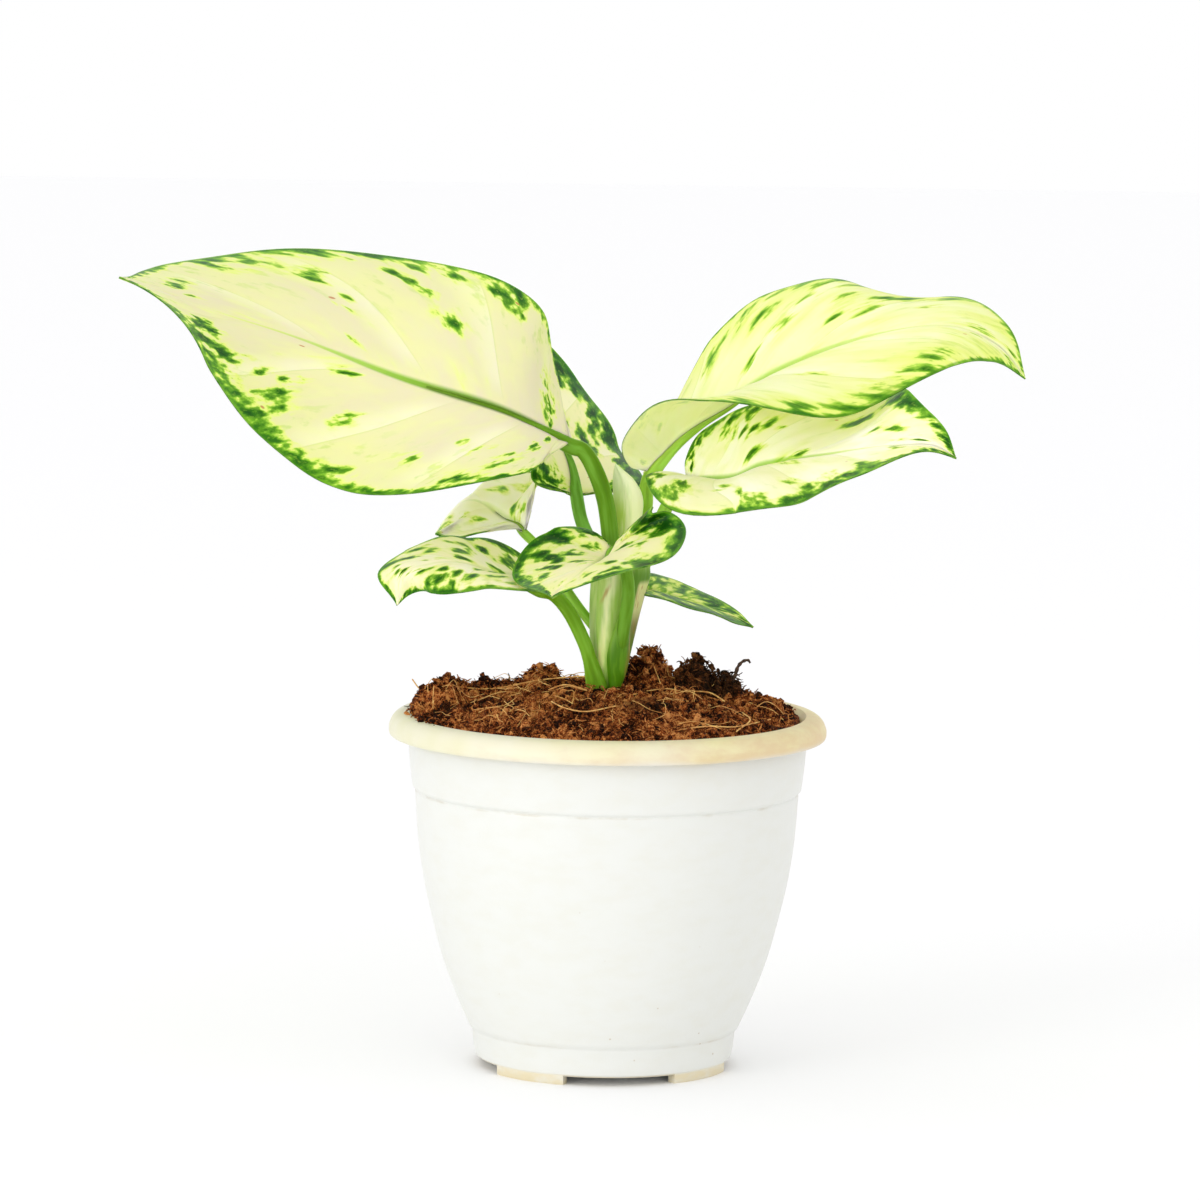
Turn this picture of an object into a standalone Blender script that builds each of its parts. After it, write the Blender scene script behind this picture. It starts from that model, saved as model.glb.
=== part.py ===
"""Potted Chinese evergreen: a round plastic nursery pot, its soil, the false stem and nine leaves.

Lengths below are millimetres with the pot's axis at x = y = 0; the whole plant is moved by OFFSET so
that the middle of its bounding box stands over the origin.
"""
import math

import bmesh
import bpy
import numpy as np
from mathutils import Vector, noise

MM = 0.001
OFFSET = (10.8, 0.0)           # pot axis in the finished part, x and y
GAP = 0.3                      # clearance between two touching pieces

# pot
POT_SEGMENTS = 48
WALL = 1.8
RIM_RADIUS = 62.5
RIM_TOP = 101.5
RIM_INNER = 56.2
COLLAR_RADIUS = 56.8
COLLAR_BASE = 80.0
BODY = [(54.8, 78.4), (53.8, 64.9), (52.1, 53.5), (49.5, 42.1), (46.4, 30.7), (42.1, 19.3), (38.6, 11.4)]
FOOT_RING = [(37.7, 10.8), (37.2, 5.5), (36.6, 3.0), (35.8, 2.4)]
FLOOR_TOP = 5.2
FOOT_RADII = (33.2, 36.4)
FOOT_SPREAD = 38.0             # degrees of arc of one foot
FOOT_ANGLES = (-127.0, -37.0, 53.0, 143.0)   # 0 is +X, the viewer stands at -90
DRAIN_RADIUS = 3.0
DRAIN_CIRCLE = 20.0

# soil
SOIL_RINGS = 12
SOIL_SEGMENTS = 44
SOIL_EDGE = 100.6
SOIL_MOUND = 8.2
CLUMPS = [                     # x, y, radius, height of the crumbs that stand out of the mound
    (11.5, 10.5, 6.5, 10.5),
    (22.5, 10.0, 5.5, 6.5),
    (33.0, 10.0, 7.0, 4.5),
    (-18.0, 9.0, 6.0, 3.6),
    (-46.0, 2.0, 9.0, 5.2),
    (-33.0, 14.0, 9.0, 2.4),
    (44.0, -4.0, 9.0, 2.8),
    (-28.0, -24.0, 9.0, 1.4),
    (12.0, -28.0, 11.0, 1.2),
]

# false stem: x, y, z, half width in x, half width in y
STEM = [
    (0.2, 0.0, 84.0, 3.0, 3.0),
    (0.2, 0.0, 88.0, 4.2, 4.2),
    (0.2, 0.0, 100.0, 5.0, 5.2),
    (0.3, 0.0, 110.0, 5.4, 5.6),
    (0.7, 0.1, 120.0, 6.3, 6.2),
    (1.3, 0.3, 130.0, 7.2, 6.8),
    (2.3, 0.5, 137.0, 8.2, 7.3),
    (3.2, 0.7, 143.0, 8.5, 7.3),
    (3.4, 0.8, 148.0, 6.8, 6.0),
    (3.4, 0.8, 150.0, 3.8, 3.6),
]
STEM_SIDES = 16

# pale young sheath, same columns
SPEAR = [
    (3.6, -0.2, 143.0, 1.2, 1.0),
    (3.9, -0.2, 147.0, 2.0, 1.5),
    (4.6, 0.0, 153.0, 3.4, 2.0),
    (5.0, 0.2, 160.0, 4.4, 2.2),
    (4.6, 0.3, 164.5, 4.4, 2.1),
    (3.4, 0.4, 168.5, 3.3, 1.7),
    (1.8, 0.5, 171.6, 1.4, 1.0),
    (1.1, 0.5, 173.0, 0.4, 0.4),
]
SPEAR_SIDES = 12

# half outline of a blade from the stalk to the tip: share of the length, share of the half width
OUTLINE = [(0, 0), (0, 0.25), (0, 0.55), (0.10, 0.85), (0.27, 1.0), (0.48, 0.93),
           (0.68, 0.68), (0.84, 0.36), (0.94, 0.12), (1, 0)]
LOBE_SHARE = [0, 1, 1, 0.55, 0.12, 0, 0, 0, 0, 0]
PEAK_SHARE = [0, 0, 0.3, 0.7, 1, 1, 0.7, 0.3, 0.1, 0]
BLADE = 0.8                    # thickness
VEIN_POWER = 2.2               # how the side veins leave the midrib

# One entry a leaf. mid: midrib from stalk to tip. roll: turn of the blade about the midrib.
# fold and curl: angle at the midrib and bend towards the margin, for the halves right and left of
# the way from stalk to tip. lobe: how far the base reaches back. peak: where it is widest.
# wave: height of the waved edge and number of waves. stalk: x, y, z, radius from the base up.
# grid: rows along the blade and columns on each half.
LEAVES = {
    "leaf_left_big": dict(
        mid=[(-11.5, -6.5, 179.5), (-31, -8, 188.5), (-60.5, 2.5, 196.5), (-89, 4, 207),
             (-117, -4.5, 216.5), (-139, -18.5, 225.5)],
        roll=(39, 49, 48, 38, 15), width=(49, 41),
        fold=((6, 2, 0, -6, 2), (9, -2, -6, -8, 7)),
        curl=((-22, -26, -19), (2, 8, -8)),
        lobe=-0.04, peak=0.14, wave=(0.7, 3.5),
        stalk=[(0.6, -3.4, 137.0, 1.6), (0.3, -4.0, 143.0, 2.3), (0.0, -5.0, 152.0, 2.45),
               (-1.6, -5.5, 163.0, 2.45), (-4.6, -5.8, 171.5, 2.4), (-8.0, -5.6, 177.0, 2.3)],
        grid=(20, 6)),
    "leaf_right_upper": dict(
        mid=[(11, 7, 170.5), (20.5, 6.5, 181.5), (33, 4, 190), (47.5, -1, 200.5), (69.5, -5, 210),
             (93.5, -4.5, 214), (108, -3.5, 209), (117, -2.5, 199)],
        roll=(9, -18, -32, -16, -38), width=(27, 31),
        fold=((53, 32, 0, -8, 1), (16, 38, 36, 22, 18)),
        curl=((-5, -16, -21, -17, -10), (-44, -21, -57, -60, -23)),
        lobe=0.02, peak=0.17, wave=(0.6, 3.5),
        stalk=[(5.4, 4.4, 137.5, 1.4), (6.6, 5.6, 144.0, 2.0), (8.8, 7.4, 152.0, 2.0),
               (10.0, 8.0, 160.0, 2.0), (10.2, 7.4, 166.0, 2.0)],
        grid=(22, 6)),
    "leaf_right_lower": dict(
        mid=[(21.5, 0, 169), (34, -12.5, 170.5), (44, -18, 175.5), (63.5, -28.5, 180),
             (77.5, -39, 183), (88.5, -46, 184), (95.5, -50.5, 181)],
        roll=(6, -3, -13), width=(28, 31),
        fold=((17, -9, -21, -16, 12), (62, 53, 22, 42, 29)),
        curl=((-64, -6, -1), (-2, -7, -16)),
        lobe=0.04, peak=0.08, wave=(0.5, 3.0),
        stalk=[(8.2, -0.4, 137.0, 1.4), (9.4, 0.0, 143.0, 1.9), (12.0, 0.8, 151.5, 1.9),
               (15.6, 1.8, 160.0, 1.9), (19.0, 1.4, 165.5, 1.9)],
        grid=(18, 5)),
    "leaf_back": dict(
        mid=[(-10.5, 13.5, 162), (-12, 16.5, 170), (-18, 23.5, 182), (-24, 32, 197),
             (-30.5, 42, 215)],
        roll=(166, 164, 170), width=(26, 34),
        fold=((-15, -4, 6), (-8, 7, 13)),
        curl=((0, 0, 0), (0, 0, 0)),
        lobe=-0.02, peak=0.04, wave=(0.6, 3.0),
        stalk=[(-1.4, 3.4, 137.0, 1.4), (-2.8, 5.0, 143.0, 1.9), (-5.6, 8.6, 149.5, 1.9),
               (-8.4, 12.0, 155.5, 1.9)],
        grid=(16, 5)),
    "leaf_front": dict(
        mid=[(0.5, -17, 150.5), (-1.5, -22.5, 148.5), (-6.5, -42, 148), (-16, -62, 142)],
        roll=(-13, -13, -12), width=(24, 27),
        fold=((32, 0, 6), (32, -2, 6)),
        curl=((0, 0, 0), (0, 0, 0)),
        lobe=0.1, peak=0.05, wave=(0.4, 2.5),
        stalk=[(2.6, -5.4, 104.0, 1.6), (2.8, -5.9, 110.0, 2.6), (3.4, -6.6, 118.0, 2.6),
               (4.4, -7.8, 127.0, 2.2), (5.0, -9.8, 136.0, 1.9), (4.6, -12.0, 143.0, 1.8),
               (3.0, -14.2, 148.0, 1.8)],
        grid=(14, 5)),
    "leaf_left_lower": dict(
        mid=[(-19.5, -8.5, 138.5), (-27.5, -14.5, 142), (-34.5, -18.5, 144), (-42, -21.5, 146.5),
             (-50.5, -25, 146.5), (-58, -30, 144), (-59.5, -36.5, 136)],
        roll=(-4, -8, 6), width=(20, 20),
        fold=((38, 25, -4), (-2, -20, -49)),
        curl=((4, -2, -20), (-6, -13, -26)),
        lobe=0.02, peak=0, wave=(0.4, 2.5),
        stalk=[(-2.8, -4.0, 100.0, 2.2), (-3.4, -4.4, 108.0, 2.8), (-4.6, -5.0, 115.0, 2.5),
               (-7.2, -6.0, 123.0, 2.3), (-11.4, -7.2, 131.1, 2.2), (-15.8, -8.0, 136.2, 2.1)],
        grid=(16, 4)),
    "leaf_left_middle": dict(
        mid=[(-24.5, 11, 152), (-26.5, 12.5, 154), (-31, 16.5, 155.5), (-36.5, 20.5, 159),
             (-43, 23.5, 158.5), (-50.5, 30, 148.5)],
        roll=(22, 3, 27), width=(22, 23),
        fold=((55, 14, 16), (18, -20, -12)),
        curl=((0, 0, 0), (0, 0, 0)),
        lobe=-0.09, peak=0.06, wave=(0.4, 2.5),
        stalk=[(-1.0, 2.6, 121.0, 1.1), (-4.6, 3.4, 126.0, 1.4), (-9.0, 4.4, 131.5, 1.4),
               (-14.4, 6.4, 139.0, 1.35), (-20.0, 9.0, 147.0, 1.35)],
        grid=(14, 4)),
    "leaf_right_small": dict(
        mid=[(11.5, 6.5, 136), (16.5, 7, 135), (21.5, 8.5, 133), (27.5, 11, 131), (36, 15, 127.5),
             (41.5, 17, 124.5)],
        roll=(2, 0, -20), width=(11, 13),
        fold=((-8, -8, -7), (22, 20, 18)),
        curl=((0, 0, 0), (0, 0, 0)),
        lobe=-0.02, peak=0.03, wave=(0.3, 2.0),
        stalk=[(5.4, 1.6, 131.0, 1.0), (8.2, 4.0, 134.6, 1.3)],
        grid=(12, 3)),
}
STALK_SIDES = 8
KEEL_SHARE = 0.5               # share of the midrib the stalk runs on under the blade

COLOURS = {
    "pot": ((0.86, 0.86, 0.84), 0.38),
    "soil": ((0.20, 0.085, 0.035), 0.95),
    "stem": ((0.42, 0.60, 0.26), 0.45),
    "leaf_spear": ((0.62, 0.74, 0.42), 0.45),
    "leaf_left_big": ((0.76, 0.80, 0.50), 0.40),
    "leaf_right_upper": ((0.70, 0.80, 0.42), 0.40),
    "leaf_right_lower": ((0.68, 0.78, 0.42), 0.40),
    "leaf_back": ((0.50, 0.62, 0.33), 0.40),
    "leaf_front": ((0.42, 0.60, 0.26), 0.38),
    "leaf_left_lower": ((0.52, 0.66, 0.33), 0.38),
    "leaf_left_middle": ((0.74, 0.78, 0.46), 0.40),
    "leaf_right_small": ((0.16, 0.30, 0.14), 0.38),
}


def clear_scene():
    for obj in list(bpy.data.objects):
        bpy.data.objects.remove(obj, do_unlink=True)


def place(point):
    return Vector(((point[0] + OFFSET[0]) * MM, (point[1] + OFFSET[1]) * MM, point[2] * MM))


def smooth_through(points, t):
    """Value at t (0 to 1) of the smooth curve through evenly spaced points."""
    rows = np.array(points, dtype=float)
    if rows.ndim == 1:
        rows = rows[:, None]
    count = len(rows)
    ends = np.vstack([2 * rows[0] - rows[1], rows, 2 * rows[-1] - rows[-2]])
    at = min(max(t, 0.0), 1.0) * (count - 1)
    i = min(int(at), count - 2)
    f = at - i
    a, b, c, d = ends[i:i + 4]
    value = 0.5 * (2 * b + (c - a) * f + (2 * a - 5 * b + 4 * c - d) * f ** 2
                   + (3 * b - a - 3 * c + d) * f ** 3)
    return value if len(value) > 1 else float(value[0])


def new_object(name, verts, faces):
    mesh = bpy.data.meshes.new(name)
    mesh.from_pydata([place(v) for v in verts], [], faces)
    obj = bpy.data.objects.new(name, mesh)
    bpy.context.collection.objects.link(obj)
    work = bmesh.new()
    work.from_mesh(mesh)
    bmesh.ops.recalc_face_normals(work, faces=work.faces[:])
    work.to_mesh(mesh)
    work.free()
    return obj


def hide_cutter(obj):
    obj.hide_render = True
    obj.display_type = "WIRE"


def boolean(obj, other, operation, solver="EXACT"):
    mod = obj.modifiers.new(operation.lower() + "_" + other.name, "BOOLEAN")
    mod.operation = operation
    mod.solver = solver
    mod.object = other
    hide_cutter(other)


def apply_modifiers(obj):
    """Bakes the modifiers of obj into its mesh."""
    graph = bpy.context.evaluated_depsgraph_get()
    mesh = bpy.data.meshes.new_from_object(obj.evaluated_get(graph))
    obj.modifiers.clear()
    obj.data = mesh


def dress(obj, smooth_angle=45.0):
    colour, roughness = COLOURS[obj.name]
    mat = bpy.data.materials.new(obj.name)
    mat.use_nodes = True
    shader = mat.node_tree.nodes["Principled BSDF"]
    shader.inputs["Base Color"].default_value = (*colour, 1.0)
    shader.inputs["Roughness"].default_value = roughness
    shader.inputs["Metallic"].default_value = 0.0
    mat.diffuse_color = (*colour, 1.0)
    obj.data.materials.clear()
    obj.data.materials.append(mat)
    obj.data.polygons.foreach_set("use_smooth", [True] * len(obj.data.polygons))
    obj.data.set_sharp_from_angle(angle=math.radians(smooth_angle))


# Round and lofted pieces.

def lathe(name, profile, segments):
    """Closed profile of (radius, height) turned round the pot's axis."""
    count = len(profile)
    verts = []
    for k in range(segments):
        turn = 2 * math.pi * k / segments
        verts += [(r * math.cos(turn), r * math.sin(turn), z) for r, z in profile]
    faces = []
    for k in range(segments):
        here = k * count
        there = (k + 1) % segments * count
        for i in range(count):
            j = (i + 1) % count
            faces.append((here + i, there + i, there + j, here + j))
    return new_object(name, verts, faces)


def close_rings(rings, sides):
    """Faces of a tube of rings with a fan at both ends."""
    faces = []
    for k in range(rings - 1):
        for i in range(sides):
            j = (i + 1) % sides
            faces.append((k * sides + i, k * sides + j, (k + 1) * sides + j, (k + 1) * sides + i))
    first = rings * sides
    last = first + 1
    top = (rings - 1) * sides
    for i in range(sides):
        j = (i + 1) % sides
        faces.append((first, j, i))
        faces.append((last, top + i, top + j))
    return faces


def loft(name, sections, sides, rows, grow=0.0):
    """Upright solid through elliptical sections (x, y, z, half width x, half width y)."""
    verts = []
    for k in range(rows):
        x, y, z, wide, deep = smooth_through(sections, k / (rows - 1))
        for i in range(sides):
            turn = 2 * math.pi * i / sides
            verts.append((x + (wide + grow) * math.cos(turn), y + (deep + grow) * math.sin(turn), z))
    low = sections[0]
    high = sections[-1]
    verts.append((low[0], low[1], low[2] - grow - 0.4))
    verts.append((high[0], high[1], high[2] + grow + 0.4))
    return new_object(name, verts, close_rings(rows, sides))


def tube(name, path, sides, rows, grow=0.0):
    """Round solid along a path of (x, y, z, radius)."""
    points = [np.array(smooth_through(path, k / (rows - 1))) for k in range(rows)]
    heading = [points[min(k + 1, rows - 1)][:3] - points[max(k - 1, 0)][:3] for k in range(rows)]
    heading = [Vector(h).normalized() for h in heading]
    side = heading[0].orthogonal().normalized()
    verts = []
    for point, ahead in zip(points, heading):
        side = (side - ahead * side.dot(ahead)).normalized()
        other = ahead.cross(side)
        for i in range(sides):
            turn = 2 * math.pi * i / sides
            out = side * math.cos(turn) + other * math.sin(turn)
            verts.append(Vector(point[:3]) + out * (point[3] + grow))
    verts.append(Vector(points[0][:3]) - heading[0] * (grow + 0.3))
    verts.append(Vector(points[-1][:3]) + heading[-1] * (grow + 0.2))
    return new_object(name, verts, close_rings(rows, sides))


def pot_profile():
    lip = [(RIM_INNER + 0.5, RIM_TOP), (59.6, 101.2), (61.5, 99.8), (RIM_RADIUS, 97.4),
           (RIM_RADIUS - 0.1, 95.7), (61.9, 95.2), (61.1, 95.4), (60.7, 97.4), (59.4, 98.9), (57.8, 98.9)]
    collar = [(COLLAR_RADIUS + 0.1, 97.8), (COLLAR_RADIUS, 92.0), (55.7, COLLAR_BASE + 0.8),
              (55.3, COLLAR_BASE), (54.8, COLLAR_BASE - 0.4)]
    under = [(33.6, 2.4), (32.6, 3.4), (DRAIN_RADIUS, 3.4)]
    inside = [(DRAIN_RADIUS, FLOOR_TOP), (35.0, FLOOR_TOP), (36.6, 7.4)]
    inside += [(r - WALL, z) for r, z in BODY[5:0:-2]]
    inside += [(COLLAR_RADIUS - WALL, 92.0), (COLLAR_RADIUS - WALL, 99.6), (RIM_INNER, 101.0)]
    return lip + collar + BODY + FOOT_RING + under + inside


def foot_block(angle):
    """Arc block under the foot ring, reaching up into it."""
    steps = 6
    low, high = FOOT_RADII
    verts = []
    for k in range(steps + 1):
        turn = math.radians(angle + FOOT_SPREAD * (k / steps - 0.5))
        ring = [(low, 0.0), (high - 0.3, 0.0), (high, 0.5), (high, 3.1), (low, 3.1)]
        verts += [(r * math.cos(turn), r * math.sin(turn), z) for r, z in ring]
    faces = [(0, 1, 2, 3, 4), tuple(reversed(range(steps * 5, steps * 5 + 5)))]
    for k in range(steps):
        for i in range(5):
            j = (i + 1) % 5
            faces.append((k * 5 + i, (k + 1) * 5 + i, (k + 1) * 5 + j, k * 5 + j))
    return new_object("foot_%d" % round(angle % 360), verts, faces)


def drain_cutter(angle):
    turn = math.radians(angle)
    x = DRAIN_CIRCLE * math.cos(turn)
    y = DRAIN_CIRCLE * math.sin(turn)
    path = [(x, y, 0.5, DRAIN_RADIUS), (x, y, 4.0, DRAIN_RADIUS), (x, y, 8.0, DRAIN_RADIUS)]
    return tube("drain_%d" % round(angle), path, 12, 3)


def build_pot():
    pot = lathe("pot", pot_profile(), POT_SEGMENTS)
    for angle in FOOT_ANGLES:
        boolean(pot, foot_block(angle), "UNION")
    for angle in (0, 90, 180, 270):
        boolean(pot, drain_cutter(angle), "DIFFERENCE")
    dress(pot, 40)
    return pot


def soil_height(x, y):
    reach = math.hypot(x, y) / 55.0
    height = SOIL_EDGE + SOIL_MOUND * (1 - reach ** 2) ** 1.2 if reach < 1 else SOIL_EDGE
    for cx, cy, size, rise in CLUMPS:
        away = math.hypot(x - cx, y - cy) / size
        height += rise * math.exp(-away ** 4)
    grain = noise.noise(Vector((x * 0.16, y * 0.16, 3.1)))
    return height + 1.5 * grain * min(1.0, 3.0 * (1.05 - reach))


def build_soil():
    verts = [(0.0, 0.0, soil_height(0.0, 0.0))]
    faces = []
    edge = COLLAR_RADIUS - WALL - GAP
    for k in range(1, SOIL_RINGS + 1):
        radius = edge * k / SOIL_RINGS
        for i in range(SOIL_SEGMENTS):
            turn = 2 * math.pi * (i + 0.5 * (k % 2)) / SOIL_SEGMENTS
            x = radius * math.cos(turn)
            y = radius * math.sin(turn)
            verts.append((x, y, soil_height(x, y)))
    wall = [(COLLAR_RADIUS - WALL - GAP, 92.0)]
    wall += [(r - WALL - GAP, z) for r, z in BODY[1:6:2]]
    wall += [(36.6 - GAP, 7.4 + GAP), (35.0 - GAP, FLOOR_TOP + GAP)]
    for n, (r, z) in enumerate(wall):
        for i in range(SOIL_SEGMENTS):
            turn = 2 * math.pi * (i + 0.5 * ((SOIL_RINGS + n + 1) % 2)) / SOIL_SEGMENTS
            verts.append((r * math.cos(turn), r * math.sin(turn), z))
    verts.append((0.0, 0.0, FLOOR_TOP + GAP))
    rings = SOIL_RINGS + len(wall)
    for i in range(SOIL_SEGMENTS):
        j = (i + 1) % SOIL_SEGMENTS
        faces.append((0, 1 + i, 1 + j))
        faces.append((len(verts) - 1, 1 + (rings - 1) * SOIL_SEGMENTS + j,
                      1 + (rings - 1) * SOIL_SEGMENTS + i))
    for k in range(rings - 1):
        low = 1 + k * SOIL_SEGMENTS
        high = low + SOIL_SEGMENTS
        for i in range(SOIL_SEGMENTS):
            j = (i + 1) % SOIL_SEGMENTS
            if k % 2 == 0:
                faces += [(low + i, high + i, low + j), (low + j, high + i, high + j)]
            else:
                faces += [(low + i, high + i, high + j), (low + i, high + j, low + j)]
    return new_object("soil", verts, faces)


# Leaves: a thin bent blade and a stalk that runs on under the midrib.

def half_outline(leaf, t):
    points = []
    for (along, across), lobe, peak in zip(OUTLINE, LOBE_SHARE, PEAK_SHARE):
        points.append((along - leaf["lobe"] * lobe + leaf["peak"] * peak, across))
    along, across = smooth_through(points, t)
    return along, max(across, 0.0)


def midrib_table(leaf, steps=120):
    """Points, headings and running length along the midrib."""
    points = np.array([smooth_through(leaf["mid"], k / steps) for k in range(steps + 1)])
    spans = np.linalg.norm(np.diff(points, axis=0), axis=1)
    length = np.concatenate([[0.0], np.cumsum(spans)])
    heading = np.gradient(points, length, axis=0)
    return points, heading, length


def midrib_frame(leaf, table, along):
    """Point, heading, rightward and upward directions at a share of the length."""
    points, heading, length = table
    at = min(max(along, 0.0), 1.0) * length[-1]
    here = Vector([np.interp(at, length, points[:, k]) for k in range(3)])
    ahead = Vector([np.interp(at, length, heading[:, k]) for k in range(3)]).normalized()
    level = ahead.cross(Vector((0, 0, 1))).normalized()
    up = level.cross(ahead)
    turn = math.radians(smooth_through(leaf["roll"], min(max(along, 0.0), 1.0)))
    right = level * math.cos(turn) + up * math.sin(turn)
    return here + ahead * min(along, 0.0) * length[-1], ahead, right, right.cross(ahead)


def blade_point(leaf, table, side, along, across):
    """Point of the bent blade; side +1 is right of the way to the tip."""
    here, ahead, right, up = midrib_frame(leaf, table, along)
    half = 0 if side > 0 else 1
    t = min(max(along, 0.0), 1.0)
    width = leaf["width"][half]
    fold = math.radians(smooth_through(leaf["fold"][half], t))
    curl = math.radians(smooth_through(leaf["curl"][half], t))
    if abs(curl) < 1e-3:
        curl = 1e-3
    out = width * (math.sin(fold + curl * across) - math.sin(fold)) / curl
    rise = width * (math.cos(fold) - math.cos(fold + curl * across)) / curl
    height, waves = leaf["wave"]
    rise += height * across ** 3 * math.sin(math.tau * waves * along + (0.0 if side > 0 else 2.1))
    return here + right * side * out + up * rise


def blade_rows(leaf, table):
    """Rows from the stalk to the tip; each row runs from the left margin to the right margin."""
    rows, columns = leaf["grid"]
    result = []
    for k in range(1, rows):
        t = k / rows
        foot = t ** VEIN_POWER
        along, across = half_outline(leaf, t)
        row = []
        for side in (-1, 1):
            half = []
            for i in range(1, columns + 1):
                v = i / columns
                half.append(blade_point(leaf, table, side, foot + (along - foot) * v, across * v))
            row = list(reversed(half)) + [blade_point(leaf, table, 1, foot, 0.0)] if side < 0 else row + half
        result.append(row)
    return result


def build_blade(name, leaf, table):
    rows = blade_rows(leaf, table)
    wide = len(rows[0])
    verts = [p for row in rows for p in row]
    base = len(verts)
    verts.append(midrib_frame(leaf, table, 0.0)[0])
    verts.append(midrib_frame(leaf, table, 1.0)[0])
    middle = wide // 2
    faces = []
    for i in range(wide - 1):
        faces.append((base, i + 1, i))
        last = (len(rows) - 1) * wide
        faces.append((base + 1, last + i, last + i + 1))
    for k in range(len(rows) - 1):
        for i in range(wide - 1):
            a = k * wide + i
            b = a + wide
            if i < middle:
                faces += [(a, a + 1, b), (a + 1, b + 1, b)]
            else:
                faces += [(a, a + 1, b + 1), (a, b + 1, b)]
    blade = new_object(name, verts, faces)
    solid = blade.modifiers.new("thickness", "SOLIDIFY")
    solid.thickness = BLADE * MM
    solid.offset = 0.0
    return blade


def stalk_path(leaf, table):
    """Stalk from its base to the blade, then on under the midrib with a falling radius."""
    path = list(leaf["stalk"])
    thick = path[-1][3]
    for k in range(5):
        share = KEEL_SHARE * k / 4
        here, ahead, right, up = midrib_frame(leaf, table, share)
        radius = thick + (0.55 - thick) * (k / 4) ** 0.8
        spot = here - up * (radius * 0.55 + 0.05)
        path.append((spot.x, spot.y, spot.z, radius))
    return path


def build_leaf(name, leaf):
    table = midrib_table(leaf)
    blade = build_blade(name, leaf, table)
    path = stalk_path(leaf, table)
    stalk = tube(name + "_stalk", path, STALK_SIDES, 2 * len(path) - 4)
    boolean(blade, stalk, "UNION", "MANIFOLD")
    apply_modifiers(blade)
    dress(blade, 60)
    return blade


def socket(name, leaf):
    """Cutter of the stalk's own shape, wider by the gap."""
    path = list(leaf["stalk"])
    path += stalk_path(leaf, midrib_table(leaf))[len(path):]
    cutter = tube("socket_" + name, path, STALK_SIDES, 2 * len(path) - 4, GAP)
    hide_cutter(cutter)
    return cutter


def main():
    clear_scene()
    build_pot()
    stem = loft("stem", STEM, STEM_SIDES, 14)
    spear = loft("leaf_spear", SPEAR, SPEAR_SIDES, 10)
    soil = build_soil()
    boolean(soil, loft("stem_hole", STEM, STEM_SIDES, 14, GAP), "DIFFERENCE")
    boolean(stem, loft("spear_hole", SPEAR, SPEAR_SIDES, 10, GAP), "DIFFERENCE")
    for name, leaf in LEAVES.items():
        build_leaf(name, leaf)
        cutter = socket(name, leaf)
        boolean(stem, cutter, "DIFFERENCE")
        if name in ("leaf_left_lower", "leaf_front"):
            boolean(soil, cutter, "DIFFERENCE")
    dress(soil, 60)
    dress(stem, 50)
    dress(spear, 60)


main()
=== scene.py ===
import math
import random

import bpy
import numpy as np
from mathutils import Matrix, Vector, noise


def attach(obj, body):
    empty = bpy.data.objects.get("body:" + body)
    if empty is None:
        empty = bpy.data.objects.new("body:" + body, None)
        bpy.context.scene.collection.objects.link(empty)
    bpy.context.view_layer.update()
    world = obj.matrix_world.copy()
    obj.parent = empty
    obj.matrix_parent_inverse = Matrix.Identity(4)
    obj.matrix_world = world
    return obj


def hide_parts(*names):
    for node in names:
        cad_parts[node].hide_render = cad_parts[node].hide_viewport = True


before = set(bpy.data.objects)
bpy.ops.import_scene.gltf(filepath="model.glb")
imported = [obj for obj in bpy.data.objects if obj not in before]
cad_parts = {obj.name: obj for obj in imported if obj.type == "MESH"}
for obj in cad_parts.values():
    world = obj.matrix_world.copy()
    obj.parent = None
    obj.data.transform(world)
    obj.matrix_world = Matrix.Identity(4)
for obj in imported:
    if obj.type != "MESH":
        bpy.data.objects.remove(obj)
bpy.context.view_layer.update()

mm = 0.001
potAxis = np.array([10.8, 0.0, 0.0])  # the pot's axis in the part, all lengths below are mm from it


# small tools for meshes

def deselectAll():
    if bpy.context.object and bpy.context.object.mode != "OBJECT":
        bpy.ops.object.mode_set(mode="OBJECT")
    bpy.ops.object.select_all(action="DESELECT")


def pick(*objects):
    deselectAll()
    for obj in objects:
        obj.select_set(True)
    bpy.context.view_layer.objects.active = objects[0]
    return objects[0]


def inEditMode(obj, *steps):
    pick(obj)
    bpy.ops.object.mode_set(mode="EDIT")
    bpy.ops.mesh.select_all(action="SELECT")
    for step in steps:
        step()
    bpy.ops.object.mode_set(mode="OBJECT")
    return obj


def weld(distance=0.004):
    return lambda: bpy.ops.mesh.remove_doubles(threshold=distance * mm)


def outwards():
    bpy.ops.mesh.normals_make_consistent(inside=False)


def placeVerts(obj, points):
    obj.data.vertices.foreach_set("co", ((np.asarray(points) + potAxis) * mm).ravel())
    obj.data.update()


def freshGrid(name, across, along):
    deselectAll()
    bpy.ops.mesh.primitive_grid_add(x_subdivisions=across, y_subdivisions=along, size=1, calc_uvs=True)
    obj = bpy.context.object
    obj.name = obj.data.name = name
    spots = np.empty(len(obj.data.vertices) * 3)
    obj.data.vertices.foreach_get("co", spots)
    spots = spots.reshape(-1, 3)
    return obj, np.clip(spots[:, 0] + 0.5, 0, 1), np.clip(spots[:, 1] + 0.5, 0, 1)


def joined(name, *objects):
    pick(*objects)
    bpy.ops.object.join()
    obj = bpy.context.object
    obj.name = obj.data.name = name
    return obj


def smoothAll(obj, degrees=60):
    pick(obj)
    bpy.ops.object.shade_smooth_by_angle(angle=math.radians(degrees))
    return obj


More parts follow.
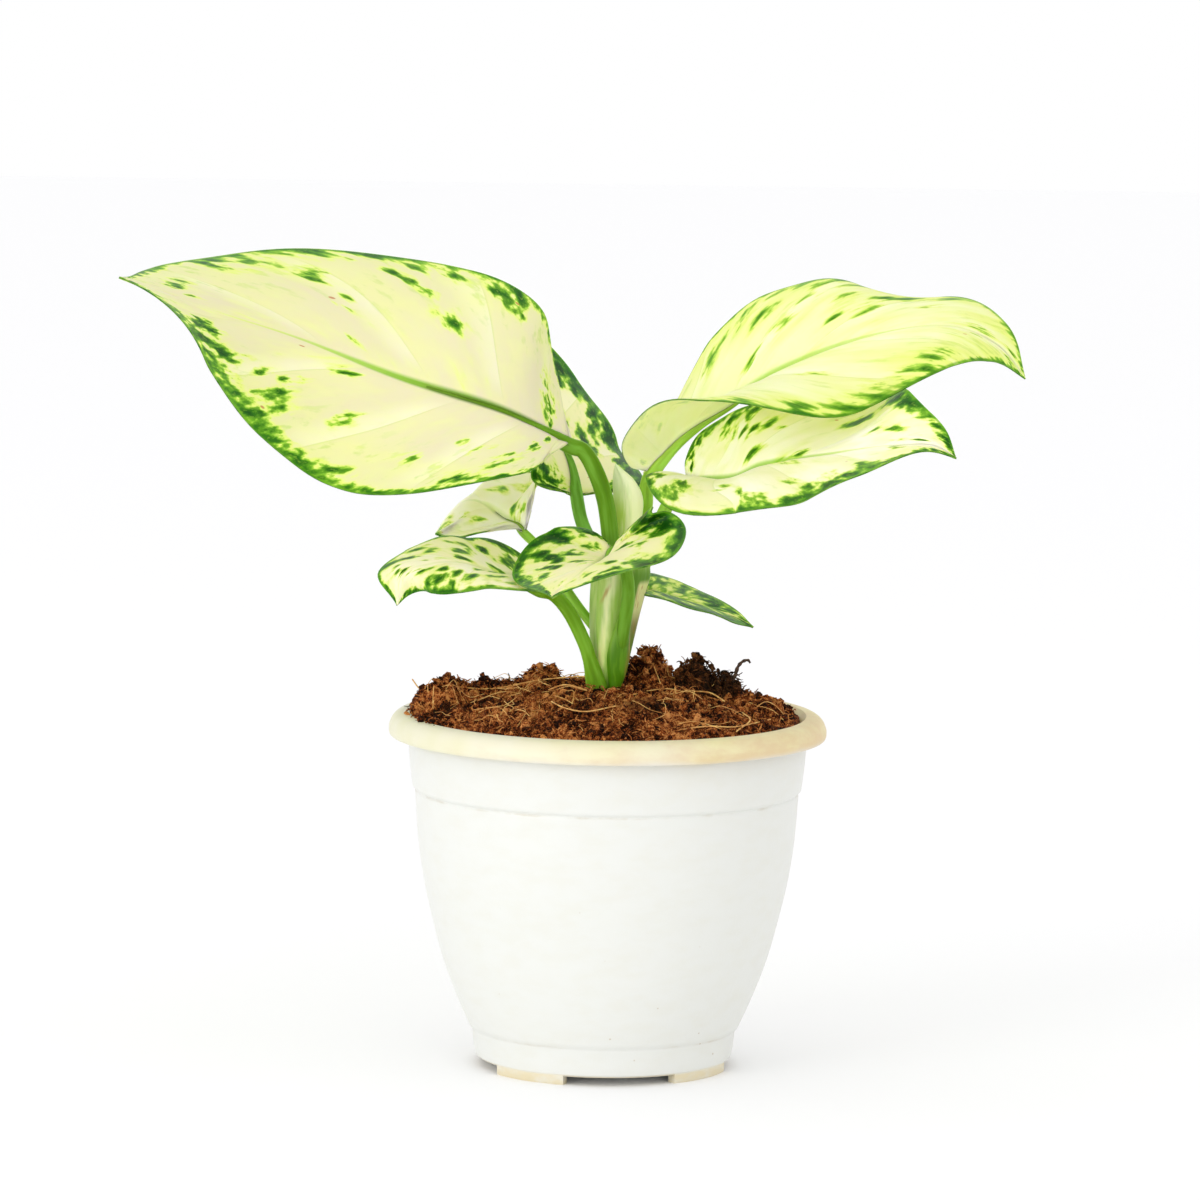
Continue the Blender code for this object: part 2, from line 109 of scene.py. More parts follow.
def smoothThrough(points, at):
    rows = np.array(points, dtype=float)
    flat = rows.ndim == 1
    if flat:
        rows = rows[:, None]
    count = len(rows)
    ends = np.vstack([2 * rows[0] - rows[1], rows, 2 * rows[-1] - rows[-2]])
    at = np.clip(np.atleast_1d(at), 0, 1) * (count - 1)
    i = np.minimum(at.astype(int), count - 2)
    f = (at - i)[:, None]
    a, b, c, d = ends[i], ends[i + 1], ends[i + 2], ends[i + 3]
    value = 0.5 * (2 * b + (c - a) * f + (2 * a - 5 * b + 4 * c - d) * f ** 2
                   + (3 * b - a - 3 * c + d) * f ** 3)
    return value[:, 0] if flat else value


def unit(rows):
    return rows / np.linalg.norm(rows, axis=-1, keepdims=True)


def bell(x):
    return np.exp(-x * x)


def fade(x, low, high):
    x = np.clip((x - low) / (high - low), 0, 1)
    return x * x * (3 - 2 * x)


def handOver(obj, material, *nodes):
    if material:
        obj.data.materials.append(material)
    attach(obj, "root")
    if nodes:
        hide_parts(*nodes)
    print("made", obj.name, len(obj.data.polygons), "faces")


# small tools for materials

def paint(red, green, blue):  # numbers up to 255, as in a picture, to what a material wants
    def straight(c):
        c /= 255
        return c / 12.92 if c <= 0.04045 else ((c + 0.055) / 1.055) ** 2.4
    return (straight(red), straight(green), straight(blue), 1.0)


def painted(colour):  # a wire, or a colour as three numbers up to 255
    return paint(*colour) if isinstance(colour, tuple) and len(colour) == 3 else colour


class Wire:  # a socket that can stand in a sum
    def __init__(self, tree, socket=None):
        self.tree, self.socket = tree, socket

    def node(self, kind, settings=None, links=None, out=0):
        made = self.tree.nodes.new(kind)
        for key, value in (settings or {}).items():
            if key == "stops":
                first, *middle, last = value
                ends = made.color_ramp.elements
                ends[0].position, ends[0].color = first
                ends[-1].position, ends[-1].color = last
                for at, colour in middle:
                    ends.new(at).color = colour
            else:
                setattr(made, key, value)
        for key, value in (links or {}).items():
            if isinstance(value, Wire):
                self.tree.links.new(value.socket, made.inputs[key])
            else:
                made.inputs[key].default_value = value
        return Wire(self.tree, made.outputs[out])

    def maths(self, operation, *values):
        return self.node("ShaderNodeMath", {"operation": operation}, dict(enumerate(values)))

    def fraction(self):
        return self.maths("FRACT", self)

    def __add__(self, other):
        return self.maths("ADD", self, other)

    def __sub__(self, other):
        return self.maths("SUBTRACT", self, other)

    def __rsub__(self, other):
        return self.maths("SUBTRACT", other, self)

    def __mul__(self, other):
        return self.maths("MULTIPLY", self, other)

    def __truediv__(self, other):
        return self.maths("DIVIDE", self, other)

    def __abs__(self):
        return self.maths("ABSOLUTE", self)

    __radd__ = __add__
    __rmul__ = __mul__

    def most(self, other):
        return self.maths("MAXIMUM", self, other)

    def least(self, other):
        return self.maths("MINIMUM", self, other)

    def rise(self, low, high):  # 0 below low, 1 above high
        return self.node("ShaderNodeMapRange", {"interpolation_type": "SMOOTHSTEP"},
                         {0: self, 1: low, 2: high})

    def near(self, middle, reach):  # 1 at middle, 0 from reach on
        return 1 - abs(self - middle).rise(0.0, reach)

    def ramp(self, *stops):
        return self.node("ShaderNodeValToRGB", {"stops": [(at, painted(colour)) for at, colour in stops]},
                         {0: self})

    def mix(self, factor, one, other):
        return self.node("ShaderNodeMix", {"data_type": "RGBA"},
                         {0: factor, 6: painted(one), 7: painted(other)}, 2)

    def point(self, x, y, z=0.0):
        return self.node("ShaderNodeCombineXYZ", None, {0: x, 1: y, 2: z})

    def parts(self):
        first = self.node("ShaderNodeSeparateXYZ", None, {0: self})
        return [Wire(self.tree, socket) for socket in first.socket.node.outputs]

    def grain(self, scale, detail=2.0, rough=0.5):
        return self.node("ShaderNodeTexNoise", None,
                         {"Vector": self, "Scale": scale, "Detail": detail, "Roughness": rough})

    def cells(self, scale):
        return self.node("ShaderNodeTexVoronoi", None, {"Vector": self, "Scale": scale})

    def scaled(self, *sizes):
        return self.node("ShaderNodeVectorMath", {"operation": "MULTIPLY"}, {0: self, 1: sizes})


def finish(name, paintIt, **constants):
    made = bpy.data.materials.new(name)
    made.use_nodes = True
    tree = made.node_tree
    shader = tree.nodes["Principled BSDF"]
    for key, value in constants.items():
        shader.inputs[key.replace("_", " ")].default_value = value
    for key, value in paintIt(Wire(tree)).items():
        tree.links.new(value.socket, shader.inputs[key])
    return made


def objectPoint(start):  # mm from the pot's axis
    spot = start.node("ShaderNodeTexCoord", None, None, 3)
    return start.node("ShaderNodeVectorMath", {"operation": "MULTIPLY_ADD"},
                      {0: spot, 1: (1000, 1000, 1000), 2: (-potAxis[0], 0, 0)})


def bumped(start, height, strength, distance):
    return start.node("ShaderNodeBump", None,
                      {"Strength": strength, "Distance": distance * mm, "Height": height})


# camera, light and floor

viewOf = {"target": (8.1, 0.0, 133.9), "distance": 2000.0, "elevation": 7.0, "roll": 0.8, "lens": 210.54,
          "sensor": 36.0}
studio = {"sky": 1.0, "floor": (253, 253, 254), "floorSize": 8, "floorRoughness": 0.9, "lampsLookAt": (0, 0, 0.12),
          "lamps": [((-1.3, -1.3, 0.42), 0.9, 8.5), ((0.4, -1.95, 0.4), 1.2, 3.4)]}


def setUpStudio():
    deselectAll()
    tilt = math.radians(viewOf["elevation"])
    away = Vector((0, -math.cos(tilt), math.sin(tilt))) * viewOf["distance"]
    bpy.ops.object.camera_add()
    camera = bpy.context.object
    camera.data.sensor_width = viewOf["sensor"]
    camera.data.lens = viewOf["lens"]
    camera.matrix_world = (Matrix.Translation((Vector(viewOf["target"]) + away) * mm)
                           @ Matrix.Rotation(math.pi / 2 - tilt, 4, "X")
                           @ Matrix.Rotation(math.radians(viewOf["roll"]), 4, "Z"))
    bpy.context.scene.camera = camera
    for where, size, power in studio["lamps"]:  # metres and watts
        bpy.ops.object.light_add(type="AREA", location=where)
        lamp = bpy.context.object
        way = Vector(studio["lampsLookAt"]) - lamp.location
        lamp.rotation_euler = way.to_track_quat("-Z", "Y").to_euler()
        lamp.data.size, lamp.data.energy = size, power
    world = bpy.data.worlds.new("paleSky")
    world.use_nodes = True
    sky = world.node_tree.nodes["Background"]
    sky.inputs["Color"].default_value = (1, 1, 1, 1)
    sky.inputs["Strength"].default_value = studio["sky"]
    bpy.context.scene.world = world
    bpy.context.scene.view_settings.view_transform = "Standard"
    deselectAll()
    bpy.ops.mesh.primitive_plane_add(size=studio["floorSize"])
    floor = bpy.context.object
    floor.name = "floor"
    plain = bpy.data.materials.new("paleFloor")
    plain.use_nodes = True
    shader = plain.node_tree.nodes["Principled BSDF"]
    shader.inputs["Base Color"].default_value = paint(*studio["floor"])
    shader.inputs["Roughness"].default_value = studio["floorRoughness"]
    floor.data.materials.append(plain)


setUpStudio()
print("studio ready")


# pot

pot = {
    "steps": 128, "footSteps": 10,
    "lip": [(56.7, 101.5), (59.6, 101.2), (61.5, 99.8), (62.5, 97.4), (62.4, 95.7), (61.9, 95.2),
            (61.1, 95.4), (60.7, 97.4), (59.4, 98.9), (57.8, 98.9)],
    "collar": [(56.9, 97.8), (56.8, 92.0), (56.3, 86.0), (55.7, 81.2), (55.55, 80.4), (55.2, 80.0), (54.8, 79.9),
               (54.65, 79.5), (54.8, 79.1)],
    "body": [(54.8, 78.4), (53.8, 64.9), (52.1, 53.5), (49.5, 42.1), (46.4, 30.7), (42.1, 19.3), (38.6, 11.4)],
    "footRing": [(38.0, 10.9), (37.7, 10.3), (37.2, 5.5), (36.6, 3.0), (35.8, 2.4)],
    "under": [(33.6, 2.4), (32.6, 3.4), (3.0, 3.4)],
    "inside": [(3.0, 5.2), (35.0, 5.2), (36.6, 7.4), (40.3, 19.3), (44.6, 30.7), (50.3, 53.5), (52.0, 64.9),
               (55.0, 92.0), (55.0, 99.6), (56.2, 101.0)],
    "footAngles": (-127.0, -37.0, 53.0, 143.0), "footSpread": 38.0,
    "footSection": [(33.2, 0.0), (36.1, 0.0), (36.4, 0.5), (36.4, 3.1), (33.2, 3.1)],
    "drainRadius": 3.0, "drainCircle": 20.0, "drainAngles": (0, 90, 180, 270), "drillMiddle": 4.3, "drillDepth": 8,
    "lipPoints": 34, "bodyPoints": 40,
    "white": (226, 227, 222), "ivory": (220, 218, 204), "cream": (232, 222, 172), "tan": (222, 198, 152),
    "brownDarkening": (168, 140, 96), "foot": (222, 208, 170), "moss": (204, 206, 132),
}


def spunProfile(name, profile, steps, angle=math.tau):
    deselectAll()
    bpy.ops.mesh.primitive_circle_add(vertices=len(profile), radius=0.01)
    obj = bpy.context.object
    obj.name = obj.data.name = name
    placeVerts(obj, [(r, 0, z) for r, z in profile])
    whole = angle == math.tau
    inEditMode(obj, lambda: bpy.ops.mesh.spin(steps=steps, angle=angle, center=potAxis * mm, axis=(0, 0, 1)),
               lambda: bpy.ops.mesh.select_all(action="SELECT"), weld(0.01),
               lambda: whole or bpy.ops.mesh.fill_holes(sides=0), outwards)
    return obj


def turnedCopy(obj, degrees):
    pick(obj)
    bpy.ops.object.duplicate()
    copy = bpy.context.object
    middle = Matrix.Translation(Vector(potAxis * mm))
    copy.data.transform(middle @ Matrix.Rotation(math.radians(degrees), 4, "Z") @ middle.inverted())
    return copy


def potPaint(start):
    spot = objectPoint(start)
    x, y, z = spot.parts()
    wide = spot.grain(0.03, 3)
    clouds = spot.scaled(1, 1, 2.2).grain(0.11, 4, 0.6)
    fine = spot.grain(1.6, 3)
    rim = (z + (wide - 0.5) * 5).rise(93.2, 96.5)
    feet = 1 - (z + (clouds - 0.5) * 2).rise(2.3, 3.3)
    colour = start.mix(clouds.rise(0.35, 0.8) * 0.3, pot["white"], pot["ivory"])
    peach = (1 - z.rise(95.0, 98.6)) * 0.25 + x / 220
    cream = start.mix((clouds + peach).rise(0.42, 0.95), pot["cream"], pot["tan"])
    cream = start.mix(wide.rise(0.45, 0.7) * 0.5, cream, pot["moss"])
    stain = (rim * (0.75 + (wide - 0.5) * 1.2 + (x / 160)).least(1.0)).most(0.0)
    colour = start.mix(stain, colour, cream)
    # darker, in patches, along the collar step, the foot ring and the bottom edge; the same brown makes the specks
    # below
    groove = z.near(79.3, 0.55) + z.near(10.9, 0.6) + z.near(2.6, 0.7) * 0.6
    brownDarkening = groove * clouds.rise(0.42, 0.75) * 0.3
    colour = start.mix(brownDarkening, colour, pot["brownDarkening"])
    colour = start.mix(feet * (clouds.rise(0.3, 0.6) * 0.5 + 0.4), colour, pot["foot"])
    speck = 1 - spot.cells(0.16).rise(0.035, 0.06)
    colour = start.mix(speck * wide.rise(0.5, 0.6) * 0.55, colour, pot["brownDarkening"])
    scuff = spot.scaled(1, 1, 0.08).grain(1.1, 4, 0.65)
    height = fine * 0.4 + scuff * 0.6
    return {"Base Color": colour, "Roughness": 0.36 + (scuff - 0.5) * 0.35 + rim * 0.12,
            "Normal": bumped(start, height, 0.12, 0.25)}


def makePot():
    lip = [(min(r, 62.5), z) for r, z in smoothThrough(pot["lip"], np.linspace(0, 1, pot["lipPoints"]))]
    body = [tuple(p) for p in smoothThrough(pot["body"], np.linspace(0, 1, pot["bodyPoints"]))]
    profile = lip + pot["collar"] + body + pot["footRing"] + pot["under"] + pot["inside"]
    shell = spunProfile("nurseryPot", profile, pot["steps"])
    pick(shell)
    for turn in np.radians(pot["drainAngles"]):
        spot = potAxis + pot["drainCircle"] * np.array([math.cos(turn), math.sin(turn), 0])
        spot[2] = pot["drillMiddle"]
        bpy.ops.mesh.primitive_cylinder_add(vertices=32, radius=pot["drainRadius"] * mm,
                                            depth=pot["drillDepth"] * mm, location=spot * mm)
        drill = bpy.context.object
        pick(shell)
        cut = shell.modifiers.new("drain", "BOOLEAN")
        cut.operation, cut.solver, cut.object = "DIFFERENCE", "EXACT", drill
        bpy.ops.object.modifier_apply(modifier=cut.name)
        bpy.data.objects.remove(drill)
    inEditMode(shell, weld(), outwards)
    spread = pot["footSpread"]
    foot = spunProfile("foot", pot["footSection"], pot["footSteps"], math.radians(spread))
    feet = [turnedCopy(foot, angle + spread / 2) for angle in pot["footAngles"]]
    bpy.data.objects.remove(foot)
    handOver(smoothAll(joined("nurseryPot", shell, *feet), 35), finish("stainedWhitePlastic", potPaint), "pot")


makePot()


# soil

soil = {
    "seed": 11, "edge": 100.6, "mound": 8.2, "radius": 54.7, "around": 400, "rings": 125,
    "clumps": [(11.5, 10.5, 6.0, 8.2), (24, 10, 4.0, 6.2), (33, 10, 7, 3.6), (-18.5, 9, 4.8, 2.6),
               (-46, 2, 9, 5.2), (-33, 14, 9, 2.4), (44, -4, 9, 2.8), (-28, -24, 9, 1.4), (12, -28, 11, 1.2),
               (-50, -4, 7, 2.6), (-47, -15, 7, 1.6)],
    "lowRings": [(54.6, 92), (51.7, 64.9), (44.3, 30.7), (36.3, 7.7), (0, 5.5)],
    "darkSpots": [(24, 9, 7, 0.75), (34, 8, 11, 0.95), (9, -27, 9, 0.55), (-48, 2, 5, 0.3)],
    "clear": [(0.5, -1, 6.8), (-2.8, -4.2, 3.8), (2.8, -6, 4.4)],
    "crumbs": 2700, "curls": 3000, "fibres": 100, "onClumps": 0.4, "spilt": 0.035, "heaped": 3.4,
    "brim": 53.2, "rimTop": 101.3,
    "rust": (176, 94, 42), "earth": (112, 50, 14), "pale": (232, 160, 92), "deep": (34, 10, 2),
    "black": (54, 36, 18), "blackest": (26, 16, 8), "straw": (252, 204, 122), "amber": (206, 140, 72),
}


def soilHeight(x, y):
    reach = math.hypot(x, y) / 55
    height = soil["edge"] + (soil["mound"] * (1 - reach ** 2) ** 1.2 if reach < 1 else 0)
    ragged = 1 + 0.45 * noise.noise(Vector((x * 0.33, y * 0.33, 6.4)))
    for cx, cy, size, rise in soil["clumps"]:
        height += rise * math.exp(-(math.hypot(x - cx, y - cy) * ragged / size) ** 2.8)
    grain = noise.noise(Vector((x * 0.16, y * 0.16, 3.1)))
    return height + 1.5 * grain * min(1, 3 * (1.05 - reach))


def crumbly(x, y):  # relief of the crumbs that the mound is made of
    lumps = noise.voronoi(Vector((x * 0.3, y * 0.3, 1.7)))[0][0]
    small = noise.voronoi(Vector((x * 0.75 + 9, y * 0.75, 4.2)))[0][0]
    rough = noise.noise(Vector((x * 1.1, y * 1.1, 8.3))) + 0.7 * noise.noise(Vector((x * 2.7, y * 2.7, 2.2)))
    ridge = 1 - abs(noise.noise(Vector((x * 0.5, y * 0.5, 5.5)))) * 3
    return 1.7 * (0.5 - lumps) + 1.0 * (0.45 - small) + 0.7 * rough + 0.5 * ridge


def setTone(obj, values):
    layer = obj.data.attributes.new("tone", "FLOAT", "POINT")
    layer.data.foreach_set("value", np.asarray(values, dtype=np.float32))


def makeMound():
    obj, turn, ring = freshGrid("peatMound", soil["around"], soil["rings"])
    lowRings = soil["lowRings"]  # below the top, inside the pot
    top = 1 - len(lowRings) / soil["rings"]
    points, tones = [], []
    for u, v in zip(turn, ring):
        angle = math.tau * u
        if v <= top + 1e-6:
            radius = soil["radius"] * (v / top) ** 0.85 + 1.3 * max(0, -math.cos(angle - 0.15)) * (v / top) ** 14
            x, y = radius * math.cos(angle), radius * math.sin(angle)
            ease = min(1, max(0.0, (1 - v / top) * 20))
            lift = crumbly(x, y) * ease
            points.append((x, y, soilHeight(x, y) + lift))
            # painted shade: the higher crumbs of the mound lighter, its hollows darker
            tones.append(0.5 + 0.2 * lift)
        else:
            radius, z = lowRings[min(len(lowRings) - 1, round((v - top) * soil["rings"]) - 1)]
            points.append((radius * math.cos(angle), radius * math.sin(angle), z))
            tones.append(0.2)
    placeVerts(obj, points)
    setTone(obj, tones)
    inEditMode(obj, weld(), outwards)
    return smoothAll(obj, 70)


def makeCrumb(name, chance):
    deselectAll()
    bpy.ops.mesh.primitive_cube_add(size=1.2)
    obj = bpy.context.object
    obj.name = name
    inEditMode(obj, lambda: bpy.ops.mesh.subdivide(number_cuts=1, smoothness=0.7),
               lambda: bpy.ops.transform.vertex_random(offset=0.42, seed=chance))
    return obj


def makeCurl(name, chance):  # a short curled coir fibre, in units of a mm
    draw = random.Random(chance)
    heading, lean, spot, path = draw.uniform(0, math.tau), 0.3, Vector((0, 0, 0)), []
    for k in range(5):
        path.append((*spot, 0.13 if 0 < k < 4 else 0.07))
        heading, lean = heading + draw.uniform(-0.9, 0.9), lean + draw.uniform(-0.6, 0.45)
        spot = spot + Vector((math.cos(heading) * math.cos(lean), math.sin(heading) * math.cos(lean),
                              math.sin(lean))) * 0.75
    return sweep(name, path, 4, 8)


def shapeOf(obj, size=1.0):
    spots = np.array([v.co[:] for v in obj.data.vertices]) / size
    if size != 1.0:
        spots = spots - spots.mean(axis=0)
    polygons = [tuple(p.vertices) for p in obj.data.polygons]
    bpy.data.objects.remove(obj)
    return spots, polygons


def soilSpot(draw):  # a place on the mound, off the stalks, often on a clump
    while True:
        if draw.random() < soil["onClumps"]:
            cx, cy, size, rise = draw.choice(soil["clumps"][:7])
            x, y = draw.gauss(cx, size * 0.62), draw.gauss(cy, size * 0.62)
        else:
            radius, angle = 54 * math.sqrt(draw.random()), math.tau * draw.random()
            x, y = radius * math.cos(angle), radius * math.sin(angle)
        if draw.random() < soil["spilt"]:  # on the rim, at the left
            radius, angle = soil["brim"] + 4.6 * draw.random() ** 1.5, math.radians(draw.uniform(163, 214))
            return radius * math.cos(angle), radius * math.sin(angle)
        if math.hypot(x, y) < soil["brim"] and all(math.hypot(x - cx, y - cy) > clear
                                                   for cx, cy, clear in soil["clear"]):
            return x, y


def scattered(name, shapes, count, draw, sizeOf, tiltOf, toneOf):
    points, faces, tones = [], [], []
    for k in range(count):
        x, y = soilSpot(draw)
        size = sizeOf(draw)
        spots, polygons = draw.choice(shapes)
        turn = tiltOf(draw)
        stretch = np.array([draw.uniform(0.7, 1.5), draw.uniform(0.7, 1.2), draw.uniform(0.6, 1.1)])
        top = soilHeight(x, y) + crumbly(x, y) if math.hypot(x, y) < soil["radius"] else soil["rimTop"]
        near = max(math.exp(-(math.hypot(x - cx, y - cy) / wide) ** 2)
                   for cx, cy, wide, rise in soil["clumps"][:4])
        heap = soil["heaped"] * near * draw.random() ** 1.3
        middle = np.array([x, y, top + size * (0.1 + 0.6 * draw.random()) + heap])
        base = len(points)
        points.extend((spots * stretch) @ turn.T * size + middle)
        faces.extend(tuple(base + i for i in polygon) for polygon in polygons)
        tones.extend([toneOf(draw)] * len(spots))
    mesh = bpy.data.meshes.new(name)
    mesh.from_pydata([(0, 0, 0)] * len(points), [], faces)
    obj = bpy.data.objects.new(name, mesh)
    bpy.context.collection.objects.link(obj)
    placeVerts(obj, points)
    setTone(obj, tones)
    inEditMode(obj, outwards)
    return smoothAll(obj, 40)


def anyTurn(draw):
    axis = Vector((draw.uniform(-1, 1), draw.uniform(-1, 1), draw.uniform(-1, 1))).normalized()
    return np.array(Matrix.Rotation(math.tau * draw.random(), 3, axis))


def flatTurn(draw):
    lean = Matrix.Rotation(draw.uniform(-0.8, 0.8), 3, "X") @ Matrix.Rotation(draw.uniform(-0.8, 0.8), 3, "Y")
    return np.array(Matrix.Rotation(math.tau * draw.random(), 3, "Z") @ lean)


def makeCrumbs():
    shapes = [shapeOf(makeCrumb("crumb%d" % k, k + 3)) for k in range(5)]
    return scattered("peatCrumbs", shapes, soil["crumbs"], random.Random(soil["seed"]),
                     lambda draw: 0.28 + 1.05 * draw.random() ** 2.4, anyTurn,
                     lambda draw: 0.2 + 0.7 * draw.random())


def makeCoir():
    shapes = [shapeOf(makeCurl("curl%d" % k, k + 21), mm) for k in range(6)]
    return scattered("coirFibres", shapes, soil["curls"], random.Random(soil["seed"] + 5),
                     lambda draw: draw.uniform(0.6, 1.6), flatTurn,
                     lambda draw: 0.25 + 0.75 * draw.random())


def peatPaint(start):
    spot = objectPoint(start)
    x, y, z = spot.parts()
    # random tone of each crumb and fibre, and on the mound painted shade from its relief
    tone = start.node("ShaderNodeAttribute", {"attribute_name": "tone"}, None, 2)
    broad = spot.grain(0.09, 3)
    grit = spot.grain(0.75, 5, 0.65)
    dust = spot.grain(3.2, 3, 0.6)
    thread = spot.scaled(1, 0.35, 0.6).grain(1.9, 4, 0.6)
    mixed = tone * 0.6 + (grit - 0.5) * 1.4 + (broad - 0.5) * 0.9 + (dust - 0.5) * 1.1 + 0.14
    colour = mixed.ramp((0.32, soil["deep"]), (0.45, soil["earth"]),
                        (0.57, soil["rust"]), (0.76, soil["pale"]))
    colour = start.mix(thread.rise(0.62, 0.7) * 0.5, colour, soil["pale"])
    dark = None
    for cx, cy, size, depth in soil["darkSpots"]:
        away = start.node("ShaderNodeVectorMath", {"operation": "DISTANCE"},
                          {0: start.point(x, y), 1: (cx, cy, 0)}, 1)
        patch = (1 - (away + (broad - 0.5) * 9).rise(size * 0.5, size * 1.15)) * depth
        dark = patch if dark is None else dark.most(patch)
    colour = start.mix(dark * (0.6 + grit * 0.5), colour, start.mix(grit.rise(0.35, 0.7), soil["blackest"],
                                                                    soil["black"]))
    return {"Base Color": colour, "Roughness": 0.75 + grit * 0.25,
            "Normal": bumped(start, grit * 0.8 + dust * 0.5, 1.0, 1.0)}


def sweepFrames(path, rows):
    spots = smoothThrough(path, np.linspace(0, 1, rows))
    ahead = unit(np.gradient(spots[:, :3], axis=0))
    side = np.array(Vector(ahead[0]).orthogonal())
    sides, others = [], []
    for way in ahead:
        side = side - way * side.dot(way)
        side = side / np.linalg.norm(side)
        sides.append(side)
        others.append(np.cross(way, side))
    return spots, np.array(sides), np.array(others)


def sweep(name, path, around, rows, section=None):  # a round rod along the path, closed at both ends
    spots, sides, others = sweepFrames(path, rows - 1)
    keep = np.clip(np.arange(rows + 1) - 1, 0, rows - 2)
    capped = np.ones(rows + 1)
    capped[0] = capped[-1] = 0.0
    obj, turn, along = freshGrid(name, around, rows)
    row = np.rint(along * rows).astype(int)
    k = keep[row]
    angle = math.tau * turn
    size = spots[k, 3] * capped[row]
    if section:
        size = size * section(angle, along)
    placeVerts(obj, spots[k, :3] + (sides[k] * np.cos(angle)[:, None] + others[k] * np.sin(angle)[:, None])
               * size[:, None])
    inEditMode(obj, weld(), outwards)
    return obj


namedFibres = [  # the long ones, as x, y and height above the mound
    [(-43, -2, 0.7), (-33, 3, 1.2), (-20, 4, 1.4), (-9, 1, 3.2), (-4, -3, 3.4)],
    [(-52, 4, 1.5), (-54, 2, 4.0), (-56.0, 1, 6.5)],
    [(-17, -9, 1.5), (-12, -11, 2.6), (-6, -14, 1.4)],
    [(-16, -24, 0.8), (-12, -33, 2.0), (-6, -36, 1.6), (2, -30, 1.0)],
    [(20, -44, 0.6), (28, -40, 1.2), (36, -34, 0.9), (46, -20, 0.8)],
    [(38, -18, 0.7), (40, -28, 1.4), (36, -38, 0.6)],
    [(24, -2, 1.0), (29, -6, 2.2), (33, -12, 1.0)],
]


def fibrePath(points, thick):
    return [(x, y, max(soilHeight(x, y) + lift + 0.4, 100.9), thick) for x, y, lift in points]


def makeFibres():
    draw = random.Random(soil["seed"] + 1)
    fibres = [sweep("fibre", fibrePath(points, 0.2), 6, 26) for points in namedFibres]
    while len(fibres) < soil["fibres"]:
        radius, angle = 52 * math.sqrt(draw.random()), math.tau * draw.random()
        x, y = radius * math.cos(angle), radius * math.sin(angle)
        heading, reach = math.tau * draw.random(), draw.uniform(1.5, 5.5)
        points = []
        for k in range(4):
            points.append((x, y, 1.1 + (1.6 if 0 < k < 3 else 0) * draw.random()))
            heading += draw.uniform(-0.8, 0.8)
            x, y = x + reach * math.cos(heading), y + reach * math.sin(heading)
        if any(math.hypot(px, py) > 53.5 or math.hypot(px, py + 2) < 8 for px, py, lift in points):
            continue
        fibres.append(sweep("fibre", fibrePath(points, draw.uniform(0.06, 0.12)), 5, 12))
    return joined("strawFibres", *fibres)


def fibrePaint(start):
    spot = objectPoint(start)
    hue = spot.grain(0.35, 2)
    return {"Base Color": start.mix(hue.rise(0.35, 0.65), soil["straw"], soil["amber"])}


rootlet = {
    "path": [(34, 8.5, 108.5, 0.7), (36.2, 8.2, 111.5, 0.55), (37, 8, 114, 0.5), (38.2, 7.9, 115.6, 0.45),
             (39.8, 7.8, 116.2, 0.4), (40.6, 7.8, 115.4, 0.3)],
    "dark": (48, 34, 22), "brown": (96, 66, 44),
}


def rootPaint(start):
    return {"Base Color": objectPoint(start).grain(1.3, 3).ramp((0.35, rootlet["dark"]), (0.7, rootlet["brown"]))}


def makeRootlet():
    return smoothAll(sweep("curledRootlet", rootlet["path"], 8, 30,
                           lambda angle, along: 1 + 0.2 * np.sin(along * 40)))


def makeSoil():
    peat = finish("cocoPeat", peatPaint, Specular_IOR_Level=0.12)
    handOver(makeMound(), peat, "soil")
    handOver(makeCrumbs(), peat)
    handOver(makeCoir(), peat)
    handOver(makeFibres(), finish("straw", fibrePaint, Roughness=0.7))
    handOver(makeRootlet(), finish("darkRoot", rootPaint, Roughness=0.8))


makeSoil()


# false stem and young sheath

stem = {
    "grid": (96, 110),
    "sections": [(0.1, 0, 84, 2.6, 2.6), (0, 0, 88, 3.4, 3.6), (-0.4, 0, 98, 3.2, 3.8), (-0.4, 0, 106, 3.4, 4.2),
                 (-0.3, 0, 110, 4.2, 4.9), (0, 0, 115, 5.3, 5.6), (0.4, 0.1, 121, 6.2, 6.2),
                 (1.1, 0.2, 129, 7.2, 6.8), (2.0, 0.4, 136, 8.0, 7.2), (3.0, 0.6, 142, 8.4, 7.3),
                 (3.4, 0.8, 148, 6.8, 6), (3.4, 0.8, 150, 3.8, 3.6)],
    "edges": [(-1.25, 0.010, 108), (-2.15, -0.006, 118), (-0.35, 0.004, 104), (1.9, 0.01, 112)],
    "pale": (238, 246, 166), "green": (154, 198, 72), "deep": (88, 136, 18), "cream": (222, 224, 152),
    "scar": (176, 128, 56), "palest": (246, 250, 194), "leafy": (112, 160, 40), "husk": (136, 134, 66),
}
sheath = {
    "grid": (48, 60),
    "sections": [(1.4, -2.6, 96, 0.8, 0.8), (1.6, -2.9, 104, 1.3, 1.7), (1.7, -3.0, 108.5, 1.7, 2.4),
               (2.1, -3.0, 111.5, 2.4, 2.9), (2.3, -3.1, 114.4, 3.1, 3.3), (2.5, -3.3, 118.7, 3.6, 3.6),
               (2.9, -3.7, 123, 3.2, 3.5), (3.7, -4.6, 127.3, 2.5, 2.9), (4.6, -5.6, 131.5, 1.8, 2.3),
               (5.0, -6.6, 135, 0.9, 1.2)],
    "dark": (82, 136, 4), "green": (104, 156, 24), "pale": (150, 190, 74), "margin": (150, 150, 60),
}
